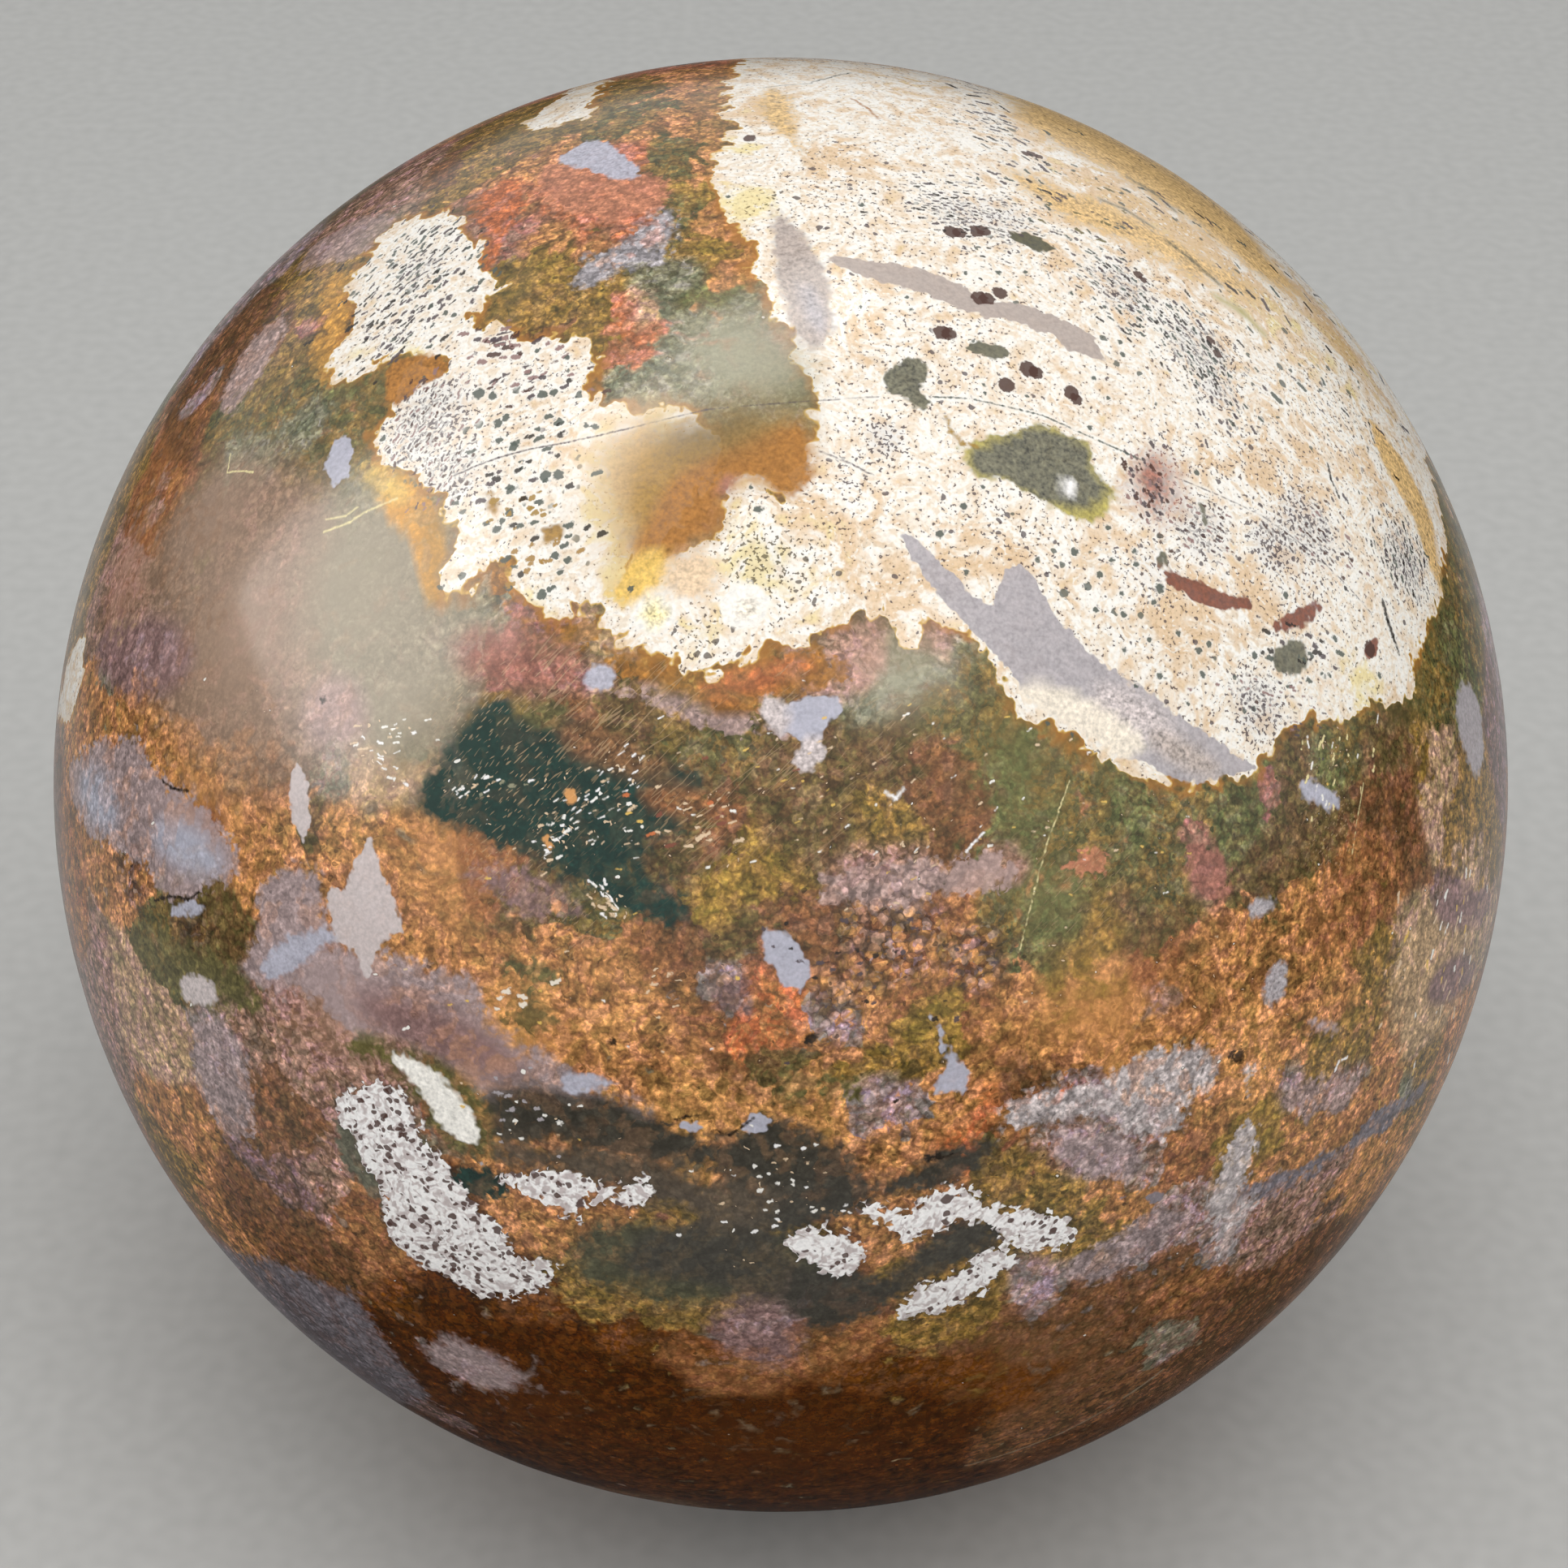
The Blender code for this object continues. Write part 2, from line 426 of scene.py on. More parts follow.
# The cream rock, in outlines of the photograph.
CREAM_OUTLINES = {
    "great field": [
        (905, 76), (898, 120), (904, 165), (888, 200), (884, 240), (898, 268), (914, 290), (924, 325), (938, 355),
        (952, 385), (972, 412), (985, 450), (1000, 490), (1000, 540), (990, 590), (960, 612), (945, 597),
        (915, 592), (892, 612), (886, 645), (850, 676), (805, 700), (775, 706), (748, 722), (755, 768),
        (790, 800), (850, 822), (900, 814), (960, 797), (1005, 783), (1055, 757), (1090, 748), (1112, 770),
        (1127, 786), (1140, 760), (1160, 760), (1190, 780), (1215, 798), (1240, 830), (1256, 882), (1295, 890),
        (1310, 906), (1345, 925), (1380, 935), (1402, 950), (1440, 966), (1475, 970), (1515, 958), (1545, 952),
        (1556, 930), (1580, 905), (1620, 888), (1672, 874), (1695, 858), (1736, 850), (1742, 815), (1765, 755),
        (1780, 685), (1774, 640), (1764, 590), (1752, 545), (1762, 470), (1850, 380), (1960, 250), (2020, 0),
        (1950, -260), (1760, -480), (1500, -600), (1230, -560), (1120, -500),
        (1080, -400), (970, -350), (1000, -250), (905, -190), (945, -100), (880, -30),
    ],
    "left island": [
        (462, 300), (490, 276), (520, 264), (548, 262), (572, 282), (590, 300), (594, 330), (612, 346),
        (604, 368), (592, 380), (596, 402), (620, 412), (650, 414), (690, 420), (722, 425), (736, 452),
        (724, 475), (740, 492), (790, 500), (850, 505), (890, 530), (880, 570), (860, 610), (840, 650), (800, 685),
        (766, 700), (750, 735), (712, 742), (690, 760), (664, 752), (640, 726), (638, 700), (640, 684),
        (600, 690), (575, 740), (548, 722), (545, 690), (566, 668), (560, 640), (540, 610), (510, 580),
        (475, 570), (458, 545), (462, 520), (490, 495), (510, 455), (540, 455), (548, 442), (525, 430),
        (470, 446), (440, 470), (415, 462), (410, 440), (430, 405), (432, 370), (440, 340),
    ],
    "limb streak": [(655, 150), (700, 112), (745, 98), (740, 118), (715, 145), (690, 152), (660, 160)],
    "left limb streak": [(72, 880), (80, 830), (98, 785), (104, 800), (100, 840), (86, 885)],
}

Patch = namedtuple("Patch", "colour softness grain outline")


def oval(x, y, across, tall, tilt=0, corners=10):
    """An oval of so many corners round a point of the photograph, its width tilted clockwise by degrees."""
    turn = math.radians(tilt)
    outline = []
    for step in range(corners):
        along = across * math.cos(math.tau * step / corners)
        aside = tall * math.sin(math.tau * step / corners)
        outline.append((
            x + along * math.cos(turn) - aside * math.sin(turn), y + along * math.sin(turn) + aside * math.cos(turn),
        ))
    return outline


# Patches under the cream, soft or sharp: colour, softness of the edge in millimetres, share of grain.
STAINS = [
    # The fawn and beige patches lie where the left lamp's reflection veils the rock: partly the rock's own colour,
    # partly painted reflection.
    Patch("fawn", 3.4, 0.3, oval(325, 760, 150, 200)),
    Patch("beige", 3.4, 0.25, oval(490, 780, 115, 170, -10)),
    Patch("lilac_pink", 1.2, 0.3, oval(412, 880, 38, 46)),
    Patch("deep_green", 0.9, 0.10, [
        (548, 915), (575, 882), (612, 850), (640, 828), (665, 848), (690, 878), (735, 905), (790, 925),
        (850, 940), (865, 975), (850, 1010), (800, 1030), (790, 1070), (850, 1100), (840, 1140), (790, 1140),
        (748, 1124), (708, 1100), (680, 1070), (632, 1046), (582, 1026), (532, 1008), (516, 962),
    ]),
    Patch("plum", 0.8, 0.4, oval(640, 1098, 84, 18, 20)),
    Patch("mauve", 0.4, 0.3, [
        (88, 940), (130, 915), (170, 915), (200, 940), (214, 965), (250, 985), (270, 1010), (292, 1048),
        (280, 1080), (240, 1110), (200, 1105), (180, 1070), (150, 1050), (110, 1025), (90, 985),
    ]),
    Patch("chalcedony", 1.2, 0.2, oval(122, 985, 20, 40, -20)),
    Patch("chalcedony", 1.2, 0.2, oval(230, 1045, 50, 26, 35)),
    Patch("olive", 0.5, 0.4, oval(664, 870, 36, 24, 30)),
    Patch("brown", 0.7, 0.5, oval(760, 925, 70, 24, 18)),
    Patch("rust", 0.5, 0.5, oval(850, 990, 60, 18, 10)),
    Patch("mauve", 0.7, 0.25, [
        (330, 1090), (360, 1065), (395, 1085), (405, 1130), (430, 1180), (480, 1175), (545, 1195),
        (590, 1220), (600, 1262), (650, 1290), (700, 1325), (760, 1345), (800, 1375), (740, 1400), (620, 1380),
        (560, 1320), (500, 1285), (440, 1270), (390, 1235), (330, 1215), (300, 1195), (320, 1140),
    ]),
    Patch("plum", 1.6, 0.25, oval(540, 1275, 110, 34, 25)),
    Patch("dark_olive", 1.2, 0.2, oval(860, 1555, 155, 55, 4)),
    Patch("charcoal", 0.9, 0.10, [
        (590, 1355), (640, 1335), (700, 1345), (760, 1350), (810, 1378), (880, 1395), (960, 1385), (1010, 1400),
        (1060, 1425), (1080, 1450), (1200, 1410), (1215, 1425), (1180, 1455), (1080, 1480), (1040, 1500),
        (960, 1525), (1000, 1560), (1080, 1570), (1130, 1540), (1190, 1500), (1235, 1510), (1210, 1550),
        (1120, 1590), (1085, 1625), (1010, 1640), (960, 1615), (880, 1585), (780, 1570), (770, 1545),
        (800, 1515), (860, 1490), (860, 1440), (700, 1415), (640, 1425), (600, 1405),
    ]),
    Patch("shale", 1.4, 0.08, [
        (590, 1405), (680, 1402), (780, 1425), (880, 1452), (960, 1470), (920, 1510), (830, 1500), (760, 1470),
        (690, 1448), (610, 1440),
    ]),
    Patch("olive", 0.5, 0.4, [
        (425, 1300), (445, 1275), (490, 1285), (540, 1305), (590, 1345), (608, 1400), (600, 1430), (560, 1420),
        (530, 1380), (500, 1340), (470, 1310),
    ]),
    Patch("deep_green", 0.35, 0.15, oval(590, 1456, 38, 30, 10)),
    Patch("olive_grey", 0.4, 0.2, oval(443, 1435, 62, 16, 60)),
    Patch("olive", 0.6, 0.35, oval(240, 1195, 90, 32, 30)),
    Patch("olive", 0.4, 0.35, oval(652, 1196, 50, 15, 12)),
    Patch("olive_brown", 0.4, 0.3, oval(655, 1254, 34, 13)),
    Patch("olive", 0.6, 0.4, oval(1005, 1337, 52, 16)),
    # A slate-grey band along the lower left edge of the ball: a painted reflection of the grey floor.
    Patch("slate", 0.9, 0.35, [
        (252, 1535), (300, 1545), (345, 1560), (420, 1585), (440, 1600), (470, 1650), (520, 1710), (480, 1730),
        (380, 1690), (300, 1620),
    ]),
    Patch("plum", 0.7, 0.4, oval(895, 1230, 32, 28)),
    Patch("plum", 1.4, 0.45, oval(932, 1645, 54, 42, 25)),
    Patch("mauve", 1.0, 0.45, oval(585, 1680, 64, 20, 20)),
    Patch("mauve", 0.5, 0.4, oval(275, 1330, 80, 30, 68)),
    Patch("lilac_pink", 0.4, 0.4, oval(1088, 1086, 76, 17, -6)),
    Patch("lilac_pink", 0.3, 0.15, oval(1210, 1078, 44, 21, -8)),
    Patch("salmon", 0.25, 0.25, oval(1340, 1060, 24, 14, -15, 6)),
    Patch("brick", 0.5, 0.3, oval(1490, 1075, 42, 18, 60)),
    Patch("pale_lilac", 0.5, 0.45, [
        (1228, 1370), (1260, 1352), (1310, 1345), (1350, 1340), (1390, 1315), (1445, 1290), (1500, 1305),
        (1497, 1340), (1465, 1345), (1460, 1400), (1440, 1405), (1380, 1380), (1320, 1370), (1260, 1385),
    ]),
    Patch("pale_lilac", 0.3, 0.35, [
        (1525, 1315), (1545, 1310), (1548, 1345), (1545, 1400), (1538, 1440), (1545, 1470), (1530, 1510),
        (1515, 1545), (1498, 1540), (1485, 1480), (1500, 1450), (1515, 1410), (1532, 1370),
    ]),
    Patch("lilac_pink", 0.35, 0.5, oval(1625, 1352, 52, 20, -18)),
    Patch("mauve", 0.6, 0.4, oval(1350, 1425, 56, 30, 20)),
    Patch("mauve", 0.8, 0.45, oval(1400, 1530, 90, 24, -28)),
    Patch("slate", 0.4, 0.3, [
        (1745, 1340), (1750, 1352), (1690, 1400), (1620, 1447), (1535, 1475), (1530, 1462), (1605, 1435),
        (1680, 1390),
    ]),
    Patch("tan", 1.6, 0.5, oval(1765, 1200, 100, 42, -72)),
    Patch("plum", 0.5, 0.3, oval(1802, 1115, 36, 30, -20)),
    Patch("plum", 0.5, 0.3, oval(1788, 1207, 38, 20, -50)),
    Patch("plum", 1.2, 0.4, oval(178, 808, 60, 50)),
    Patch("brick", 1.2, 0.35, oval(632, 812, 72, 40, 12)),
    Patch("salmon", 0.5, 0.3, [
        (660, 225), (690, 203), (760, 218), (815, 215), (822, 240), (800, 262), (740, 270), (690, 250),
    ]),
    Patch("lavender", 0.5, 0.45, [
        (700, 352), (735, 320), (765, 298), (795, 268), (826, 260), (832, 290), (815, 322), (780, 330), (745, 346),
    ]),
    Patch("red_orange", 0.5, 0.5, [
        (585, 250), (620, 222), (655, 225), (640, 260), (605, 330), (585, 330), (595, 290),
    ]),
    Patch("lilac_pink", 0.5, 0.35, oval(426, 300, 56, 20, -25)),
    Patch("lilac_pink", 0.5, 0.4, oval(312, 450, 70, 18, -58)),
    Patch("amber", 0.35, 0.3, [
        (748, 812), (800, 812), (860, 822), (930, 812), (1000, 800), (1045, 812), (1055, 835), (1020, 855),
        (960, 860), (900, 880), (860, 868), (820, 848), (770, 838),
    ]),
    Patch("red_orange", 0.5, 0.3, oval(930, 834, 74, 18, -16)),
    Patch("lilac_pink", 0.4, 0.35, [
        (755, 845), (800, 848), (850, 862), (890, 882), (960, 880), (990, 890), (960, 905), (900, 905),
        (850, 888), (800, 865),
    ]),
    Patch("honey", 0.35, 0.3, [
        (455, 575), (500, 580), (530, 602), (545, 640), (550, 680), (540, 710), (555, 745), (530, 745),
        (515, 700), (505, 665), (480, 640), (465, 610),
    ]),
    Patch("honey", 1.0, 0.3, oval(412, 405, 22, 70, 8)),
    Patch("butter", 0.7, 0.3, oval(470, 590, 40, 16, 40)),
    Patch("amber", 0.3, 0.3, [
        (600, 690), (625, 682), (645, 690), (640, 715), (640, 735), (665, 755), (700, 765), (740, 770),
        (720, 790), (680, 785), (630, 765), (605, 740), (600, 715),
    ]),
]

# Patches that lie on the cream and on all that is under it.
INLAYS = [
    Patch("peach", 3.2, 0.1, oval(790, 600, 60, 100, 10)),
    Patch("ochre", 3.0, 0.15, [
        (748, 580), (765, 545), (800, 520), (850, 505), (900, 498), (950, 496), (985, 512), (975, 560), (930, 575),
        (890, 590), (870, 630), (840, 660), (805, 700), (775, 700), (752, 650),
    ]),
    Patch("amber", 0.7, 0.2, [
        (800, 640), (830, 590), (880, 560), (935, 535), (985, 520), (998, 550), (1000, 580), (985, 605),
        (962, 608), (945, 592), (915, 588), (890, 605), (884, 640), (858, 668), (820, 692), (790, 700), (780, 680),
    ]),
    Patch("olive_brown", 2.6, 0.15, oval(880, 530, 60, 20, -12)),
    # The soft green-grey patch under the top lamp's reflection: partly the rock's own colour, partly painted
    # reflection.
    Patch("green_grey", 3.0, 0.1, oval(940, 455, 56, 34, 20)),
    Patch("butter", 0.5, 0.2, oval(790, 712, 42, 24, -50)),
    Patch("white", 0.3, 0.1, oval(921, 750, 32, 28)),
    Patch("cream", 0.4, 0.4, oval(921, 750, 14, 12)),
    Patch("white", 0.25, 0.1, oval(806, 757, 30, 26)),
    Patch("yellow_cream", 0.3, 0.5, oval(806, 757, 17, 15)),
    Patch("brick", 0.2, 0.2, oval(895, 598, 14, 8, -10)),
    Patch("amber", 0.25, 0.3, [
        (482, 452), (512, 440), (552, 444), (556, 456), (535, 472), (515, 470), (500, 490), (480, 500), (478, 480),
    ]),
    Patch("ochre", 0.3, 0.25, oval(602, 610, 21, 9, 75)),
    Patch("ochre", 0.3, 0.25, oval(685, 656, 14, 9, -25)),
    Patch("peach", 0.8, 0.2, oval(853, 708, 32, 25)),
    Patch("taupe", 0.5, 0.25, [
        (944, 246), (962, 256), (985, 275), (1004, 310), (1020, 345), (1030, 385), (1025, 420), (1000, 432),
        (978, 412), (966, 375), (958, 335), (950, 290),
    ]),
    Patch("lavender", 0.5, 0.3, oval(1002, 380, 34, 12, 70)),
    Patch("taupe", 0.08, 0.1, [
        (1016, 315), (1053, 318), (1098, 325), (1142, 335), (1182, 351), (1209, 370), (1258, 371), (1293, 385),
        (1329, 402), (1351, 420), (1366, 448), (1338, 437), (1311, 424), (1305, 411), (1276, 407), (1249, 396),
        (1222, 393), (1191, 384), (1160, 369), (1124, 357), (1080, 345), (1036, 329),
    ]),
    Patch("gold_sand", 2.2, 0.35, [
        (1240, 98), (1330, 135), (1410, 180), (1480, 232), (1545, 295), (1600, 365), (1560, 345), (1500, 300),
        (1440, 255), (1370, 212), (1300, 178), (1255, 145),
    ]),
    Patch("gold_sand", 1.4, 0.4, [
        (1240, 212), (1310, 232), (1385, 265), (1455, 298), (1520, 338), (1552, 372), (1500, 352), (1440, 322),
        (1370, 292), (1300, 262),
    ]),
    Patch("gold_sand", 0.6, 0.4, [
        (1690, 520), (1722, 560), (1750, 610), (1768, 660), (1776, 720), (1762, 700), (1745, 650), (1722, 600),
        (1700, 560),
    ]),
    Patch("gold_sand", 0.7, 0.4, oval(965, 148, 48, 18, 62)),
    Patch("olive_grey", 0.16, 0.5, [
        (1122, 440), (1142, 448), (1146, 468), (1136, 480), (1150, 498), (1128, 504), (1110, 492), (1092, 484),
        (1086, 464), (1098, 450),
    ]),
    Patch("olive_grey", 0.12, 0.25, oval(1216, 432, 30, 10, 12, 6)),
    Patch("lichen", 0.3, 0.3, [
        (1190, 552), (1217, 541), (1246, 530), (1280, 517), (1316, 532), (1348, 543), (1348, 568), (1358, 586),
        (1371, 602), (1362, 622), (1328, 634), (1295, 626), (1260, 611), (1232, 595), (1202, 590), (1191, 572),
    ]),
    Patch("olive_grey", 0.2, 0.5, [
        (1197, 552), (1220, 547), (1246, 536), (1278, 523), (1312, 538), (1342, 548), (1341, 568), (1352, 588),
        (1364, 600), (1356, 617), (1326, 628), (1298, 620), (1262, 606), (1236, 590), (1205, 585), (1198, 570),
    ]),
    Patch("cool_white", 0.15, 0.1, oval(1318, 600, 11, 9)),
    Patch("dark_olive", 0.12, 0.3, [(1234, 287), (1267, 287), (1300, 305), (1283, 312), (1260, 302)]),
    Patch("lavender", 0.08, 0.15, [
        (1106, 652), (1130, 664), (1160, 695), (1200, 735), (1222, 742), (1232, 715), (1255, 692), (1278, 716),
        (1292, 745), (1300, 762), (1330, 790), (1348, 808), (1385, 832), (1420, 852), (1450, 880), (1485, 905),
        (1520, 930), (1548, 946), (1520, 952), (1480, 968), (1440, 962), (1420, 940), (1380, 925), (1340, 895),
        (1300, 880), (1270, 852), (1240, 815), (1215, 790), (1190, 775), (1160, 740), (1138, 705), (1116, 678),
    ]),
    Patch("pale_lilac", 0.8, 0.4, oval(1400, 880, 60, 22, 32)),
    Patch("taupe", 0.6, 0.4, oval(1460, 930, 50, 16, 30)),
    Patch("cream", 0.35, 0.2, oval(1338, 885, 84, 22, 28)),
    Patch("brick", 2.0, 0.5, oval(1422, 600, 24, 40, -10)),
    Patch("red_brown", 0.12, 0.25, [
        (1425, 690), (1440, 706), (1470, 718), (1500, 730), (1540, 738), (1546, 752), (1510, 750), (1475, 740),
        (1445, 722), (1428, 706),
    ]),
    Patch("olive_grey", 0.15, 0.2, oval(1431, 690, 14, 6, 80)),
    Patch("red_brown", 0.15, 0.3, oval(1594, 763, 42, 9, -25)),
    Patch("olive_grey", 0.2, 0.35, oval(1588, 811, 22, 20)),
    Patch("red_brown", 0.12, 0.2, oval(1690, 800, 16, 9, -80)),
    Patch("chalcedony", 0.12, 0.1, [
        (965, 872), (1000, 856), (1042, 852), (1046, 872), (1028, 892), (1012, 906), (1000, 922), (978, 908),
        (962, 892),
    ]),
    Patch("pale_lilac", 0.2, 0.35, oval(998, 930, 26, 17, -60)),
    Patch("pale_lilac", 0.25, 0.3, oval(955, 880, 26, 17, 70)),
    Patch("chalcedony", 0.2, 0.15, oval(740, 837, 20, 16, -20)),
    Patch("chalcedony", 0.12, 0.1, oval(420, 565, 37, 21, -75, 6)),
    Patch("chalcedony", 0.2, 0.2, [
        (687, 196), (706, 184), (727, 172), (752, 180), (768, 195), (790, 213), (771, 220), (743, 216), (716, 207),
    ]),
    Patch("chalcedony", 0.15, 0.1, oval(970, 1185, 50, 22, 58, 6)),
    Patch("chalcedony", 0.15, 0.1, [
        (1148, 1248), (1160, 1270), (1172, 1292), (1196, 1322), (1190, 1344), (1152, 1342), (1166, 1312),
        (1155, 1285),
    ]),
    Patch("chalcedony", 0.2, 0.15, oval(232, 1121, 24, 13, -5, 7)),
    Patch("chalcedony", 0.35, 0.15, oval(370, 1172, 54, 17, -32, 7)),
    Patch("pale_lilac", 0.12, 0.1, [
        (456, 1036), (467, 1066), (481, 1092), (489, 1124), (500, 1148), (478, 1157), (464, 1172), (452, 1210),
        (441, 1172), (418, 1162), (405, 1130), (400, 1090), (425, 1097), (437, 1068),
    ]),
    Patch("pale_lilac", 0.12, 0.1, oval(370, 988, 48, 11, 84, 6)),
    Patch("chalcedony", 0.3, 0.15, oval(728, 1337, 34, 11, 4)),
    Patch("chalcedony", 0.1, 0.1, oval(854, 1389, 22, 8, 5, 6)),
    Patch("chalcedony", 0.1, 0.1, oval(928, 1386, 20, 10, -25, 6)),
    Patch("slate", 0.12, 0.15, oval(1382, 1477, 16, 6)),
    Patch("slate", 0.12, 0.15, oval(1423, 1474, 13, 6)),
    Patch("white", 0.25, 0.15, [
        (480, 1298), (504, 1302), (534, 1325), (564, 1355), (586, 1385), (588, 1408), (570, 1408), (546, 1384),
        (522, 1350), (496, 1322),
    ]),
    Patch("lavender", 0.4, 0.15, oval(1811, 893, 58, 15, 82)),
    Patch("chalcedony", 0.3, 0.15, oval(1625, 978, 28, 11, 30, 6)),
    Patch("lavender", 0.3, 0.3, oval(1553, 1116, 20, 9, -25)),
    Patch("lavender", 0.35, 0.35, oval(1574, 1208, 27, 11, -75)),
    Patch("pale_lilac", 0.3, 0.2, oval(243, 1219, 21, 15, 20, 6)),
    Patch("mauve", 0.4, 0.3, oval(1627, 1264, 22, 13)),
]

# The cool white rock with brown spots, low on the ball.
WHITE_OUTLINES = {
    "left patch": [
        (418, 1352), (440, 1334), (472, 1328), (500, 1350), (520, 1392), (546, 1432), (582, 1475), (612, 1508),
        (635, 1545), (668, 1558), (690, 1560), (672, 1580), (655, 1600), (604, 1596), (560, 1580), (520, 1556),
        (490, 1535), (472, 1502), (474, 1475), (450, 1440), (438, 1405), (420, 1380),
    ],
    "middle scraps": [(610, 1440), (660, 1442), (710, 1450), (715, 1490), (700, 1505), (680, 1480), (640, 1465), (612, 1462)],
    "right scraps": [(720, 1455), (760, 1462), (800, 1455), (806, 1475), (785, 1492), (750, 1482), (725, 1472)],
    "round blob": [(972, 1535), (994, 1516), (1030, 1510), (1056, 1528), (1068, 1550), (1036, 1568), (1006, 1558)],
    "upper arc": [
        (1048, 1482), (1085, 1482), (1107, 1490), (1131, 1480), (1170, 1464), (1200, 1462), (1220, 1480),
        (1252, 1493), (1280, 1494), (1312, 1505), (1324, 1520), (1303, 1540), (1268, 1538), (1235, 1520),
        (1206, 1504), (1172, 1505), (1140, 1518), (1106, 1532), (1090, 1512),
    ],
    "lower arc": [(1102, 1618), (1128, 1590), (1172, 1566), (1212, 1545), (1256, 1545), (1236, 1570), (1205, 1596), (1172, 1612), (1125, 1622)],
}

# How strongly each kind of speck shows: points of the photograph with a reach and a strength.
FINE_SPECKS = [
    (530, 520, 70, 1.0), (560, 580, 50, 0.9), (1180, 262, 50, 0.8), (1385, 355, 60, 0.8), (1480, 430, 60, 0.9),
    (1500, 480, 40, 0.8), (1090, 540, 35, 0.8), (1480, 650, 50, 0.9), (1610, 650, 60, 1.0), (1570, 670, 45, 1.0),
    (1730, 690, 60, 0.9), (1550, 870, 50, 0.9), (520, 330, 60, 0.6), (1210, 150, 50, 0.4), (940, 690, 70, 0.55),
    (860, 780, 50, 0.4), (1040, 240, 120, 0.3), (1250, 640, 150, 0.25), (1480, 250, 100, 0.1),
    (1600, 400, 100, 0.1), (1420, 700, 60, 0.5), (1230, 270, 70, 0.7), (1050, 590, 60, 0.4), (1450, 560, 60, 0.4), (1640, 500, 100, 0.35),
    (1600, 700, 110, 0.45), (1540, 560, 90, 0.35), (1400, 820, 90, 0.2),
    (480, 420, 50, 0.4), (670, 470, 60, 0.3), (1160, 440, 120, 0.3),
]
ROUND_SPOTS = [
    (520, 330, 70, 0.9), (560, 390, 50, 0.9), (620, 560, 70, 1.0), (690, 470, 50, 0.9), (680, 580, 60, 0.9),
    (660, 690, 50, 0.9), (1400, 720, 80, 0.6), (1480, 820, 60, 0.6), (1320, 680, 80, 0.4), (1230, 320, 60, 0.4),
    (1380, 430, 60, 0.4), (1500, 300, 120, 0.5), (1620, 450, 120, 0.5), (1360, 220, 100, 0.4),
    (520, 460, 50, 0.4), (1180, 400, 60, 0.2), (480, 1400, 80, 1.0), (570, 1530, 80, 1.0), (760, 1470, 60, 0.6),
]
BRIGHT_FLECKS = [
    (480, 930, 60, 0.9), (580, 970, 50, 0.8), (740, 990, 90, 1.0), (690, 1030, 60, 0.9), (750, 1110, 40, 1.0),
    (870, 1000, 70, 0.8), (900, 1050, 60, 0.7), (1100, 970, 60, 0.6), (1000, 990, 80, 0.5), (1130, 1040, 60, 0.6),
    (1300, 1000, 80, 0.5), (1400, 1000, 80, 0.5), (1640, 930, 50, 0.9), (1620, 1000, 60, 0.6), (320, 880, 60, 0.6),
    (960, 1450, 80, 0.7), (1000, 1470, 50, 0.9), (900, 1540, 60, 0.6), (650, 1370, 60, 0.6), (750, 1420, 80, 0.5),
    (1740, 1180, 50, 0.9), (1790, 1250, 60, 0.8), (1700, 1420, 70, 0.6), (540, 800, 120, 0.15), (200, 1210, 50, 0.6),
    (700, 1230, 60, 0.5), (1300, 1200, 60, 0.4), (1500, 1200, 100, 0.4), (830, 1200, 40, 0.6),
]
SCRATCHED = [
    (600, 880, 70, 0.9), (640, 960, 90, 1.0), (760, 900, 90, 0.8), (830, 850, 80, 0.6), (680, 830, 60, 0.8),
    (620, 1060, 60, 0.8), (850, 1000, 80, 0.7), (980, 970, 100, 0.6), (1100, 900, 100, 0.4), (880, 620, 90, 0.3),
    (820, 480, 90, 0.3), (1340, 1090, 100, 0.5), (1640, 1020, 70, 0.7), (980, 830, 60, 0.5), (700, 1140, 60, 0.6),
]
CRUMBLY = [
    (1100, 1150, 90, 1.0), (1200, 1180, 60, 1.0), (1030, 1230, 60, 0.8), (900, 1220, 50, 0.8), (160, 1080, 60, 0.9),
    (240, 1150, 50, 0.7), (1300, 1340, 60, 0.6), (650, 200, 60, 0.6), (780, 300, 60, 0.7), (1100, 1380, 80, 0.6),
    (700, 1380, 80, 0.6), (620, 700, 50, 0.8), (980, 900, 40, 0.6), (1700, 1000, 60, 0.5),
]
# Where the rock's grain is calm: smooth rock, and round the lamps' reflections a calming of the grain that stands for
# their haze, a painted reflection.
SMOOTH_AND_SHEEN = [
    (430, 720, 170, 1.0), (300, 780, 150, 1.0), (260, 640, 110, 0.9), (1110, 830, 70, 1.0), (900, 430, 80, 1.0),
    (500, 880, 110, 0.9), (560, 1060, 90, 0.7), (1290, 1100, 80, 0.6), (1260, 950, 90, 0.6), (600, 780, 60, 0.5),
    (420, 1230, 90, 0.8), (620, 1310, 90, 0.8), (1350, 1235, 90, 0.8), (200, 560, 80, 0.7), (160, 700, 90, 0.8),
    (650, 1720, 130, 0.6), (950, 1770, 170, 0.7), (1250, 1700, 130, 0.6), (1000, 2050, 250, 0.7), (240, 1020, 90, 0.8),
]
